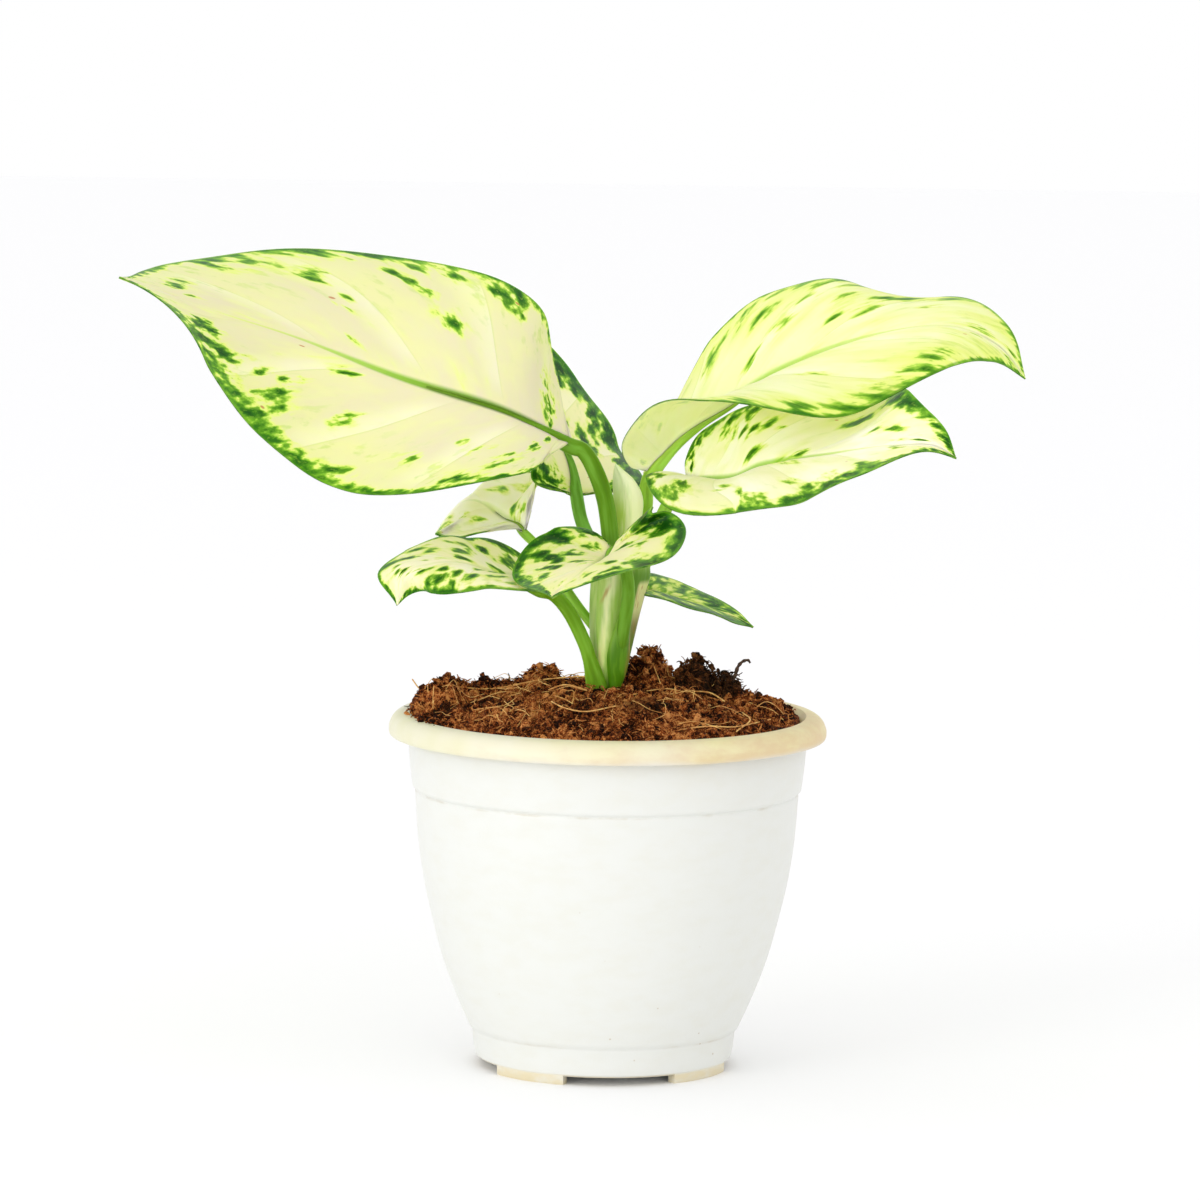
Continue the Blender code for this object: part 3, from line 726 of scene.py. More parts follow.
spear = {
    "grid": (48, 60),
    "sections": [(3.6, -0.2, 143, 1.2, 1), (3.9, -0.2, 147, 2, 1.5), (4.6, 0, 153, 3.4, 2), (5, 0.2, 160, 4.4, 2.2),
                 (4.6, 0.3, 164.5, 4.4, 2.1), (3.4, 0.4, 168.5, 3.3, 1.7), (1.8, 0.5, 171.6, 1.4, 1),
                 (1.1, 0.5, 173, 0.4, 0.4)],
    # pale and green are set lighter, painted light against the shade the leaves cast on the young sheath
    "pale": (244, 250, 186), "green": (188, 218, 92), "white": (252, 253, 226),
}


def loft(name, piece, relief):  # oval sections as x, y, z, half width, half depth
    around, rows = piece["grid"]
    obj, turn, along = freshGrid(name, around, rows)
    row = np.rint(along * rows)
    share = np.clip((row - 1) / (rows - 2), 0, 1)
    x, y, z, wide, deep = smoothThrough(piece["sections"], share).T
    angle = math.tau * turn
    size = np.where((row == 0) | (row == rows), 0.0, 1.0)
    more = relief(angle, z)
    placeVerts(obj, np.stack([x + (wide + more) * np.cos(angle) * size,
                              y + (deep + more) * np.sin(angle) * size, z], 1))
    inEditMode(obj, weld(), outwards)
    return smoothAll(obj)


def wrapped(angle, edge, width=0.12, tail=1.6):  # one sheath lying over the next: steep edge, long fade
    gap = (angle - edge + math.pi) % math.tau - math.pi
    return np.where(gap < 0, bell(gap / width), np.exp(-gap / tail))


def stemRelief(angle, z):
    more = 0
    for at, lean, low in stem["edges"]:  # the angle of a sheath's edge, how it leans, and where it begins
        more = more + 0.55 * wrapped(angle, at + lean * (z - 110)) * fade(z, low - 14, low + 10)
    return (more - 0.75 + 0.06 * np.sin(angle * 31)) * (1 - fade(z, 140, 148))


def stemPaint(start):
    spot = objectPoint(start)
    x, y, z = spot.parts()
    streak = spot.scaled(1, 1, 0.09).grain(1.1, 3, 0.5)
    cloud = spot.scaled(1, 1, 0.5).grain(0.16, 2)
    across = x - (z - 125) * 0.09 + (cloud - 0.5) * 2.4
    stripes = ((streak - 0.5) * 1.1 + 0.5).rise(0.25, 0.8)
    colour = start.mix(stripes * 0.45, stem["green"], stem["pale"])
    bright = across.near(-1.9 + (z - 110) * 0.03, 2.1) * ((streak - 0.5) * 1.2 + 0.85)
    colour = start.mix(bright, colour, start.mix(z.rise(118, 134), stem["pale"], stem["palest"]))
    colour = start.mix(across.near(1.8, 2.6) * (1 - z.rise(126, 136)) * 0.75, colour, stem["leafy"])
    deep = across.rise(2.0, 5.0) * (1 - z.rise(141, 148))
    colour = start.mix(deep * 0.95, colour, stem["deep"])
    colour = start.mix((1 - z.rise(108, 116)) * 0.5, colour, stem["deep"])
    dry = (x - (z - 135) * 0.3 + (cloud - 0.5) * 2).rise(7.0, 7.7) * z.rise(118, 128) * (1 - z.rise(138.5, 140.5))
    husk = start.mix(z.rise(126, 133), stem["husk"], stem["cream"])
    colour = start.mix(dry, colour, start.mix(streak.rise(0.52, 0.66) * 0.6, husk, stem["scar"]))
    scar = (x - (z - 136.4) * 0.45 + (streak - 0.5) * 2.4).near(-1.15, 0.8) * z.near(136.4, 3.8)
    tinge = across.near(-2.4, 1.6) * z.near(116, 7) * streak.rise(0.35, 0.65)
    colour = start.mix((scar * 0.75).most(tinge * 0.4), colour, stem["scar"])
    return {"Base Color": colour, "Roughness": 0.4 + streak * 0.15,
            "Normal": bumped(start, streak, 0.25, 0.3)}


def sheathPaint(start):
    spot = objectPoint(start)
    x, y, z = spot.parts()
    streak = spot.scaled(1, 1, 0.07).grain(1.2, 3, 0.5)
    cloud = spot.scaled(1, 1, 0.5).grain(0.2, 2)
    colour = start.mix((streak + (cloud - 0.5) * 0.8).rise(0.4, 0.66), sheath["dark"], sheath["green"])
    pale = (1 - (x - (z - 122) * 0.25 + (cloud - 0.5) * 1.6).rise(-0.2, 2.4)) * z.rise(117, 124)
    colour = start.mix(pale * 0.75, colour, sheath["pale"])
    margin = (x - (z - 119) * 0.12 + (cloud - 0.5) * 1.2).rise(4.9, 5.6)
    colour = start.mix(margin * 0.6, colour, start.mix(streak.rise(0.45, 0.6), sheath["margin"],
                                                       stem["scar"]))
    colour = start.mix((1 - z.rise(107.5, 110.5)) * 0.35, colour, stem["scar"])
    return {"Base Color": colour, "Roughness": 0.38 + streak * 0.12,
            "Normal": bumped(start, streak, 0.25, 0.3)}


def spearPaint(start):
    spot = objectPoint(start)
    x, y, z = spot.parts()
    streak = spot.scaled(1, 1, 0.12).grain(1.5, 3)
    side = (streak * 0.5 + (x - 4) * 0.1 + 0.2).rise(0.25, 0.7)
    colour = start.mix(side, spear["green"], spear["pale"])
    colour = start.mix(z.rise(158, 171) * 0.6, colour, spear["white"])
    return {"Base Color": colour, "Roughness": 0.38 + streak * 0.1, "Normal": bumped(start, streak, 0.3, 0.3)}


def makeStem():
    soft = {"Subsurface_Weight": 0.15, "Subsurface_Scale": 0.002, "Subsurface_Radius": (0.6, 0.9, 0.25),
            "Specular_IOR_Level": 0.25}
    body = loft("falseStem", stem, stemRelief)
    shell = loft("frontSheath", sheath,
                 lambda angle, z: 0.25 * wrapped(angle, -2.6 + 0.015 * (z - 105), 0.2, 1.0) - 0.1)
    handOver(shell, finish("frontSheathGreen", sheathPaint, **soft))
    handOver(body, finish("sheathGreen", stemPaint, **soft), "stem")
    young = loft("youngSheath", spear,
                 lambda angle, z: -0.35 + 0.45 * wrapped(angle, -1.2 - 0.02 * (z - 150), 0.15, 1.2))
    handOver(young, finish("youngSheathPale", spearPaint, **soft), "leaf_spear")


makeStem()


# leaves: mid is the midrib from stalk to tip, roll the turn about it in degrees, fold and curl the bend
# of the right and left half; bands are the shares of a half that its dark margin takes, base to tip;
# a mark is thousandths along, hundredths across (left is below 0), tenths of a mm, percent dark; a mark
# whose percent is below 0 is pale

outline = [(0, 0), (0, 0.25), (0, 0.55), (0.10, 0.85), (0.27, 1.0), (0.48, 0.93), (0.68, 0.68), (0.84, 0.36),
           (0.94, 0.12), (1, 0)]
lobeShare = [0, 1, 1, 0.55, 0.12, 0, 0, 0, 0, 0]
peakShare = [0, 0, 0.3, 0.7, 1, 1, 0.7, 0.3, 0.1, 0]
veinPower = 2.2
keelShare = 0.32

leaves = {
    "leaf_left_big": {
        "name": "bigLeftLeaf", "grid": (72, 130), "width": (49, 41),
        "mid": [(-11.5, -6.5, 179.5), (-31, -8, 188.5), (-60.5, 2.5, 196.5), (-89, 4, 207), (-117, -4.5, 216.5),
            (-139, -18.5, 225.5)],
        "stalk": [(0.6, -3.4, 137, 1.6), (0.3, -4, 143, 2.3), (0, -5, 152, 2.45), (-1.6, -5.5, 163, 2.45),
            (-4.6, -5.8, 171.5, 2.4), (-8, -5.6, 177, 2.3)],
        "roll": (39, 49, 48, 38, 15), "fold": ((6, 2, 0, -6, 2), (9, -2, -6, -8, 7)),
        "curl": ((-22, -26, -19), (2, 8, -8)),
        "lobe": -0.04, "peak": 0.14, "wave": (0.7, 3.5), "veins": 6, "rib": 1, "depth": 0.85, "seed": 3,
        "streaks": 0.5, "lime": 0.4, "under": 0.5,
        # this cream is darker than the other leaves' as painted shade, against the strong light on this leaf
        "cream": (220, 211, 180), "stem": (96, 142, 18),
        "bands": ((0.03, 0.05, 0.04, 0.08, 0.06, 0.06, 0.07, 0.03, 0.05, 0.07, 0.2),
            (0.1, 0.08, 0.08, 0.06, 0.06, 0.12, 0.13, 0.18, 0.16, 0.1, 0.2)),
        "marks": [(200, 94, 30, 80), (360, 95, 35, 90), (385, 86, 26, 80), (360, 78, 20, 50), (445, 90, 20, 60),
            (480, 90, 20, 80), (512, 81, 16, 90), (500, 75, 15, 90), (490, 68, 15, 70), (485, 47, 26, 40),
            (550, 95, 30, 70), (620, 87, 22, 70), (670, 92, 30, 90), (650, 95, 20, 90), (610, 70, 15, 80),
            (585, 78, 12, 50), (610, 53, 12, 50), (635, 45, 12, 40), (790, 77, 18, 50), (825, 73, 20, 80),
            (845, 68, 18, 90), (860, 45, 20, 50), (255, 30, 40, 75), (250, 12, 25, 80), (270, 50, 30, 30),
            (680, 18, 12, 30), (670, -19, 18, 95), (235, -20, 20, 70), (255, -35, 20, 70), (245, -42, 20, 60),
            (280, -55, 18, 60), (275, -70, 20, 60), (340, -47, 20, 35), (380, -40, 13, 60), (415, -58, 15, 45),
            (560, -47, 15, 60), (545, -55, 15, 65), (655, -47, 15, 50), (660, -54, 14, 80), (685, -61, 16, 90),
            (635, -67, 22, 100), (625, -73, 18, 90), (595, -72, 15, 70), (600, -78, 15, 70), (640, -79, 15, 60),
            (730, -75, 30, 90), (750, -84, 35, 100), (800, -70, 35, 90), (820, -62, 25, 80), (300, -90, 30, 50),
            (460, -93, 30, 80)]},
    "leaf_right_upper": {
        "name": "upperRightLeaf", "grid": (64, 130), "width": (27, 31),
        "mid": [(11, 7, 170.5), (20.5, 6.5, 181.5), (33, 4, 190), (47.5, -1, 200.5), (69.5, -5, 210),
            (93.5, -4.5, 214), (108, -3.5, 209), (117, -2.5, 199)],
        "stalk": [(5.4, 4.4, 137.5, 1.4), (6.6, 5.6, 144, 2), (8.8, 7.4, 152, 2), (10, 8, 160, 2),
            (10.2, 7.4, 166, 2)],
        "roll": (9, -18, -32, -16, -38), "fold": ((53, 32, 0, -8, 1), (16, 38, 36, 22, 18)),
        "curl": ((-5, -16, -21, -17, -10), (-44, -21, -57, -60, -23)),
        "lobe": 0.02, "peak": 0.17, "wave": (0.6, 3.5), "veins": 6, "rib": 0.8, "depth": 0.6, "seed": 17,
        # its underside colour is near white and mixed in strongly, painted light on the under lobe that lies in
        # shade
        "streaks": 0.6, "lime": 0.95, "under": 0.55,
        "cream": (236, 241, 186), "stem": (150, 192, 66), "underside": (248, 252, 206),
        "bands": ((0.02, 0.02, 0.02, 0.03, 0.05, 0.07, 0.04, 0.03, 0.05, 0.12, 0.3),
            (0.02, 0.02, 0.03, 0.03, 0.05, 0.08, 0.13, 0.06, 0.05, 0.1, 0.3)),
        "marks": [(460, 88, 22, 40), (530, 90, 22, 60), (570, 93, 26, 80), (500, 95, 24, 80), (660, 82, 18, 80),
            (610, 84, 16, 50), (585, 40, 12, 50), (290, 50, 20, 35), (260, 93, 20, 40), (330, 75, 25, 40),
            (930, 70, 30, 50), (150, 35, 25, 40), (620, 93, 18, 70), (700, 88, 20, 70), (880, 50, 22, 45),
            (400, 93, 18, 50), (375, -65, 23, 45), (390, -77, 17, 40), (420, -83, 22, 60), (470, -65, 20, 35),
            (520, -25, 18, 60), (535, -48, 16, 70), (530, -68, 20, 50), (600, -61, 15, 50), (645, -40, 11, 70),
            (685, -43, 13, 70), (675, -52, 15, 90), (645, -67, 22, 90), (660, -78, 22, 80), (750, -68, 20, 35),
            (470, -96, 20, 60), (550, -92, 26, 60), (900, -40, 25, 40), (930, -70, 30, 50), (600, -88, 20, 70),
            (640, -93, 22, 80), (700, -86, 18, 70), (510, -84, 14, 60), (440, -93, 18, 60), (560, -80, 13, 70),
            (860, -55, 24, 45)]},
    "leaf_right_lower": {
        "name": "lowerRightLeaf", "grid": (64, 110), "width": (28, 31),
        "mid": [(21.5, 0, 169), (34, -12.5, 170.5), (44, -18, 175.5), (63.5, -28.5, 180), (77.5, -39, 183),
            (88.5, -46, 184), (95.5, -50.5, 181)],
        "stalk": [(8.2, -0.4, 137, 1.4), (9.4, 0, 143, 1.9), (12, 0.8, 151.5, 1.9), (15.6, 1.8, 160, 1.9),
            (19, 1.4, 165.5, 1.9)],
        "roll": (6, -3, -13), "fold": ((17, -9, -21, -16, 12), (62, 53, 22, 42, 29)),
        "curl": ((-64, -6, -1), (-2, -7, -16)),
        "lobe": 0.04, "peak": 0.08, "wave": (0.5, 3), "veins": 6, "rib": 0.9, "depth": 0.85, "seed": 29,
        "streaks": 0.7, "lime": 0.55, "under": 0.25, "ease": (0.02, 0.2),
        # this cream is lighter as painted light, for the shade this leaf lies in
        "cream": (252, 248, 214), "stem": (140, 184, 62),
        "bands": ((0.25, 0.25, 0.22, 0.12, 0.07, 0.14, 0.18, 0.2, 0.08, 0.2, 0.4),
            (0.6, 0.5, 0.2, 0.14, 0.14, 0.12, 0.12, 0.16, 0.14, 0.2, 0.4)),
        "marks": [(330, 85, 22, 90), (345, 70, 20, 90), (340, 55, 18, 80), (420, 50, 9, 80), (430, 42, 9, 80),
            (480, 88, 26, 90), (240, 75, 25, 80), (660, 72, 18, 90), (730, 80, 24, 80), (450, 62, 16, 40),
            (570, 58, 16, 35), (600, 80, 20, 60), (840, 55, 14, 70), (860, 40, 14, 80), (880, 20, 14, 70),
            (630, 8, 20, 50), (170, -30, 25, 90), (170, -60, 25, 90), (210, -85, 30, 90), (310, -63, 18, 90),
            (360, -55, 18, 80), (400, -52, 18, 90), (450, -50, 16, 90), (465, -57, 16, 90), (380, -78, 24, 70),
            (310, -82, 22, 90), (505, -50, 9, 90), (510, -20, 15, 60), (620, -66, 16, 90), (645, -65, 14, 90),
            (660, -10, 14, 50), (860, -35, 14, 70), (905, -40, 18, 100), (750, -45, 20, 35), (800, -60, 20, 40),
            (670, -93, 30, 80)]},
    "leaf_back": {
        "name": "backLeaf", "grid": (56, 100), "width": (26, 34),
        "mid": [(-10.5, 13.5, 162), (-12, 16.5, 170), (-18, 23.5, 182), (-24, 32, 197), (-30.5, 42, 215)],
        "stalk": [(-1.4, 3.4, 137, 1.4), (-2.8, 5, 143, 1.9), (-5.6, 8.6, 149.5, 1.9), (-8.4, 12, 155.5, 1.9)],
        "roll": (166, 164, 170), "fold": ((-15, -4, 6), (-8, 7, 13)),
        "lobe": -0.02, "peak": 0.04, "wave": (0.6, 3), "veins": 5, "rib": 0.9, "depth": 1.1, "seed": 41,
        "streaks": 0.9, "lime": 0.3, "under": 0, "flecks": 0.02,
        "cream": (242, 232, 190), "stem": (104, 156, 48),
        "bands": ((0.8, 0.7, 0.5, 0.3, 0.3, 0.3, 0.3, 0.3, 0.3, 0.3),
            (0.5, 0.6, 0.55, 0.3, 0.25, 0.25, 0.2, 0.2, 0.2, 0.3)),
        "marks": [(520, -45, 24, 100), (460, -50, 20, 90), (480, -65, 20, 80), (490, -85, 24, 100),
            (530, -68, 18, 80), (560, -78, 20, 90), (530, -85, 20, 80), (610, -95, 22, 100), (640, -83, 18, 90),
            (700, -85, 26, 100), (690, -68, 20, 90), (380, -78, 22, 90), (450, -97, 24, 90), (320, -85, 30, 90),
            (600, -28, 22, 60), (250, 60, 50, 90), (400, 60, 25, 50), (600, 50, 25, 80), (700, 40, 25, 80),
            (800, -50, 25, 80)]},
    "leaf_front": {
        "name": "frontLeaf", "grid": (64, 80), "width": (24, 27),
        "mid": [(0.5, -17, 150.5), (-1.5, -22.5, 148.5), (-6.5, -42, 148), (-16, -62, 142)],
        "stalk": [(1.9, -3.2, 106, 1), (2.4, -3.6, 112, 1.6), (3, -4.6, 119, 1.85), (4.1, -6.5, 127, 1.95),
            (5.1, -8.6, 134, 1.9), (5.2, -10.4, 139.5, 1.85), (4.5, -12.4, 144, 1.8), (3, -14.2, 148, 1.8)],
        "roll": (-13, -13, -12), "fold": ((32, 0, 6), (32, -2, 6)),
        "lobe": 0.1, "peak": 0.05, "wave": (0.4, 2.5), "veins": 5, "rib": 0.4, "depth": 1, "seed": 53,
        "streaks": 1.15, "lime": 0.6, "under": 0.4, "flecks": 0.03,
        "cream": (240, 234, 180), "stem": (104, 152, 30),
        "bands": ((0.6, 0.56, 0.5, 0.32, 0.12, 0.12, 0.18, 0.15, 0.12, 0.16, 0.15),
            (0.45, 0.55, 0.5, 0.38, 0.2, 0.14, 0.2, 0.24, 0.16, 0.15, 0.15)),
        "marks": [(330, 72, 25, 80), (430, 72, 16, 90), (450, 60, 16, 90), (410, 42, 18, 90), (400, 30, 16, 80),
            (480, 50, 14, 80), (540, 62, 16, 100), (570, 50, 15, 90), (520, 26, 16, 90), (570, 18, 15, 80),
            (630, 16, 14, 60), (290, 30, 20, 60), (850, 45, 14, 40), (650, 70, 20, 50), (340, -70, 40, 90),
            (380, -85, 40, 90), (420, -30, 15, 80), (480, -38, 15, 90), (500, -50, 16, 90), (440, -20, 15, 70),
            (650, -35, 13, 80), (580, -50, 13, 60), (620, -68, 20, 70), (700, -72, 20, 70), (770, -50, 14, 50),
            (310, -45, 20, 70)]},
    "leaf_left_lower": {
        "name": "lowerLeftLeaf", "grid": (56, 80), "width": (20, 20),
        "mid": [(-19.5, -8.5, 138.5), (-27.5, -14.5, 142), (-34.5, -18.5, 144), (-42, -21.5, 146.5),
            (-50.5, -25, 146.5), (-58, -30, 144), (-59.5, -36.5, 136)],
        "stalk": [(-2.9, -4.1, 100, 2.4), (-3, -4.2, 107.5, 3.2), (-4, -4.7, 112.5, 2.7), (-5.4, -5.3, 117.5, 2.05),
            (-7.3, -6, 123, 2), (-11.4, -7.2, 131.1, 2), (-15.8, -8, 136.2, 2)],
        "roll": (-4, -8, 6), "fold": ((38, 25, -4), (-2, -20, -49)), "curl": ((4, -2, -20), (-6, -13, -26)),
        "lobe": 0.02, "peak": 0, "wave": (0.4, 2.5), "veins": 5, "rib": 0.3, "depth": 0.95, "seed": 67,
        "streaks": 1.1, "lime": 0.35, "under": 0.4, "flecks": 0.03,
        # this cream is lighter as painted light, for the shade of the big left leaf above
        "cream": (252, 246, 206), "stem": (112, 160, 22),
        "bands": ((0.5, 0.45, 0.45, 0.45, 0.22, 0.07, 0.06, 0.05, 0.05, 0.12, 0.25),
            (0.25, 0.25, 0.2, 0.14, 0.1, 0.07, 0.09, 0.14, 0.16, 0.18, 0.25)),
        "marks": [(430, 35, 20, 90), (570, 70, 16, 90), (630, 90, 12, 70), (665, 85, 12, 90), (670, 65, 12, 80),
            (730, 72, 14, 90), (570, 53, 15, 70), (600, 48, 13, 60), (630, 45, 14, 40), (550, 15, 17, 90),
            (675, 22, 14, 80), (520, 5, 15, 70), (810, 68, 12, 80), (840, 55, 13, 90), (880, 28, 13, 80),
            (900, 10, 13, 80), (760, 30, 12, 40), (750, 93, 16, 50), (480, 62, 15, 40), (360, 50, 20, 70),
            (560, -15, 16, 80), (620, -30, 15, 80), (530, -50, 13, 50), (610, -65, 14, 90), (610, -78, 13, 80),
            (660, -55, 12, 90), (715, -47, 12, 50), (800, -42, 15, 90), (820, -28, 13, 80), (720, -76, 20, 90),
            (700, -65, 14, 60), (490, -75, 15, 80), (400, -50, 20, 60), (660, -88, 16, 40), (860, -30, 14, 40)]},
    "leaf_left_middle": {
        "name": "middleLeftLeaf", "grid": (56, 80), "width": (22, 23),
        "mid": [(-24.5, 11, 152), (-26.5, 12.5, 154), (-31, 16.5, 155.5), (-36.5, 20.5, 159), (-43, 23.5, 158.5),
            (-50.5, 30, 148.5)],
        "stalk": [(-1, 2.6, 121, 1.1), (-4.6, 3.4, 126, 1.4), (-9, 4.4, 131.5, 1.4), (-14.4, 6.4, 139, 1.35),
            (-20, 9, 147, 1.35)],
        "roll": (22, 3, 27), "fold": ((55, 14, 16), (18, -20, -12)),
        "lobe": -0.09, "peak": 0.06, "wave": (0.4, 2.5), "veins": 5, "rib": 0.4, "depth": 0.8, "seed": 71,
        "streaks": 0.6, "lime": 0.2, "under": 0.25,
        # this cream is lighter as painted light, for the shade of the big left leaf above
        "cream": (254, 252, 224), "stem": (140, 186, 62),
        "bands": ((0.1, 0.09, 0.08, 0.07, 0.05, 0.05, 0.06, 0.08, 0.1, 0.15),
            (0.04, 0.04, 0.05, 0.06, 0.08, 0.1, 0.14, 0.18, 0.2, 0.2)),
        "marks": [(350, 12, 20, 40), (300, 30, 14, 50), (450, 20, 15, 40), (600, 45, 14, 50), (500, 60, 15, 35),
            (400, -15, 16, 50), (500, -35, 15, 45), (600, -50, 16, 50), (700, -60, 15, 40), (800, -50, 14, 40),
            (750, 70, 15, 40), (850, -20, 12, 40), (650, -82, 16, 50)]},
    "leaf_right_small": {
        "name": "smallRightLeaf", "grid": (40, 70), "width": (11, 13),
        "mid": [(6.5, 6.4, 136.8), (13.5, 6.8, 135.8), (21, 8.5, 133.3), (27.5, 11, 131), (36, 15, 127.5),
            (41.5, 17, 124.5)],
        "stalk": [(1.5, 1.6, 131, 1), (3.8, 4, 134.8, 1.3)],
        "roll": (2, 0, -20), "fold": ((-8, -8, -7), (22, 20, 18)),
        "lobe": -0.02, "peak": 0.03, "wave": (0.3, 2), "veins": 4, "rib": 0.3, "depth": 0.8, "seed": 83,
        "streaks": 1.1, "lime": 0.6, "under": 0.3, "flecks": 0.02,
        "cream": (226, 232, 150), "stem": (112, 160, 44),
        "bands": ((1.05, 1.1, 1.1, 1.1, 1.05, 1, 1), (1.05, 1.05, 1.05, 1.05, 1, 1, 1)),
        "marks": [(280, 35, 14, -70), (380, 60, 9, -60), (460, 30, 8, -60), (550, 50, 9, -70), (640, 75, 8, -50),
            (700, 45, 9, -60), (820, 40, 7, -50), (330, -40, 14, -70), (430, -70, 9, -60), (520, -35, 9, -60),
            (600, -65, 10, -60), (690, -30, 9, -60), (780, -60, 8, -50), (860, -30, 7, -50)]},
}
everyLeaf = {  # what a leaf has where its own values say nothing
    "curl": ((0, 0, 0), (0, 0, 0)), "flecks": 0, "ease": (0.02, 0.02), "underside": (206, 226, 128),
    "thickness": 0.7, "stalkLength": 60, "stalkGrid": (20, 70), "smoothAngle": 50,
}
# the beige (230, 230, 166) and the pale cream (248, 248, 214) are painted shade and painted highlight between the
# lateral veins; the beige also tints random blotches, the pale cream also ends the midrib
greens = {"lime": (218, 232, 122), "spring": (158, 196, 66), "green": (92, 146, 28), "dark": (42, 102, 8),
          "deep": (16, 66, 8), "speck": (176, 84, 40), "veinShadeAndBlotch": (230, 230, 166), "paleAndVeinHighlight": (248, 248, 214),
          "margin": (36, 96, 14), "paleMargin": (120, 160, 60)}


def halfOutline(leaf, t):
    points = [(along - leaf["lobe"] * lobe + leaf["peak"] * peak, across)
              for (along, across), lobe, peak in zip(outline, lobeShare, peakShare)]
    along, across = smoothThrough(points, t).T
    return along, np.maximum(across, 0)


def midribTable(leaf, steps=120):
    points = smoothThrough(leaf["mid"], np.linspace(0, 1, steps + 1))
    length = np.concatenate([[0.0], np.cumsum(np.linalg.norm(np.diff(points, axis=0), axis=1))])
    return points, np.gradient(points, length, axis=0), length


def midribFrames(leaf, table, along):
    points, heading, length = table
    along = np.atleast_1d(along)
    at = np.clip(along, 0, 1) * length[-1]
    here = np.stack([np.interp(at, length, points[:, k]) for k in range(3)], 1)
    ahead = unit(np.stack([np.interp(at, length, heading[:, k]) for k in range(3)], 1))
    level = unit(np.cross(ahead, [0, 0, 1.0]))
    up = np.cross(level, ahead)
    turn = np.radians(smoothThrough(leaf["roll"], np.clip(along, 0, 1)))[:, None]
    right = level * np.cos(turn) + up * np.sin(turn)
    return here + ahead * (np.minimum(along, 0) * length[-1])[:, None], ahead, right, np.cross(right, ahead)


def bladePoints(leaf, table, signed, t):
    v = np.abs(signed)
    side = np.where(signed < 0, -1.0, 1.0)
    half = (side < 0).astype(int)
    foot = t ** veinPower
    edgeAlong, edgeAcross = halfOutline(leaf, t)
    along = foot + (edgeAlong - foot) * v
    across = edgeAcross * v
    here, ahead, right, up = midribFrames(leaf, table, along)
    share = np.clip(along, 0, 1)
    width = np.array(leaf["width"], dtype=float)[half]
    fold = np.radians(np.where(half == 0, smoothThrough(leaf["fold"][0], share),
                               smoothThrough(leaf["fold"][1], share)))
    curl = np.radians(np.where(half == 0, smoothThrough(leaf["curl"][0], share),
                               smoothThrough(leaf["curl"][1], share)))
    curl = np.where(np.abs(curl) < 1e-3, 1e-3, curl)
    out = width * (np.sin(fold + curl * across) - np.sin(fold)) / curl
    rise = width * (np.cos(fold) - np.cos(fold + curl * across)) / curl
    height, waves = leaf["wave"]
    rise += height * across ** 3 * np.sin(math.tau * waves * along + np.where(side > 0, 0.0, 2.1))
    lean = fold + curl * across
    normal = up * np.cos(lean)[:, None] - right * (side * np.sin(lean))[:, None]
    reach = across * width  # mm from the midrib
    thick = min(1.0, leaf["width"][0] / 30)
    phase = t * leaf["veins"] + np.where(side > 0, 0.0, 0.4)
    valley = bell(((phase % 1) - 0.5) / 0.07)
    swell = np.sin(math.pi * (phase % 1 - 0.5)) ** 2
    span = np.sin(math.pi * np.clip(v, 0, 1)) ** 0.7 * fade(t, 0.0, 0.12) * (1 - fade(t, 0.88, 1.0))
    relief = span * thick * (0.45 * swell - 0.25 * valley)
    relief -= 0.7 * thick * bell(reach / 1.3) * (1 - fade(along, 0.3, 0.95)) * fade(t, 0.0, 0.1)
    return here + right * (side * out)[:, None] + up * rise[:, None] + normal * relief[:, None]


def easedPoints(leaf, table, signed, t):  # averaged along t, more towards the margin, against creases
    right, left = leaf["ease"]
    reach = np.where(signed < 0, left, right) * np.abs(signed) * fade(t, 0.1, 0.35) * (1 - fade(t, 0.5, 0.7))
    steps = np.linspace(-1, 1, 9)
    weights = bell(steps / 0.6)
    total = sum(weight * bladePoints(leaf, table, signed, t + reach * step)
                for step, weight in zip(steps, weights))
    return total / weights.sum()


def stalkPath(leaf, table):
    path = list(leaf["stalk"])
    thick = path[-1][3]
    for k in range(5):
        here, ahead, right, up = midribFrames(leaf, table, keelShare * k / 4)
        radius = thick + (0.55 - thick) * (k / 4) ** 0.8
        path.append((*(here - up * (radius * (0.55 + 0.16 * k) + 0.05))[0], radius))
    return path


def makeBlade(leaf, table):
    across, along = leaf["grid"]
    obj, u, t = freshGrid(leaf["name"], across, along)
    signed = u * 2 - 1
    placeVerts(obj, easedPoints(leaf, table, signed, t))
    thin = obj.vertex_groups.new(name="thick")
    edge = np.round(1 - 0.45 * fade(np.abs(signed), 0.86, 1.0), 2)
    for weight in np.unique(edge):
        thin.add([int(i) for i in np.nonzero(edge == weight)[0]], float(weight), "REPLACE")
    layer = obj.data.attributes.new("mark", "FLOAT", "POINT")
    layer.data.foreach_set("value", markValues(leaf, table, signed, t).astype(np.float32))
    inEditMode(obj, weld(0.002))
    thickness = obj.modifiers.new("thickness", "SOLIDIFY")
    thickness.thickness, thickness.offset = leaf["thickness"] * mm, 0.0
    thickness.vertex_group = "thick"
    thickness.material_offset, thickness.material_offset_rim = 1, 2
    for material in leafFinishes(leaf, table):
        obj.data.materials.append(material)
    pick(obj)
    bpy.ops.object.modifier_apply(modifier=thickness.name)
    return obj


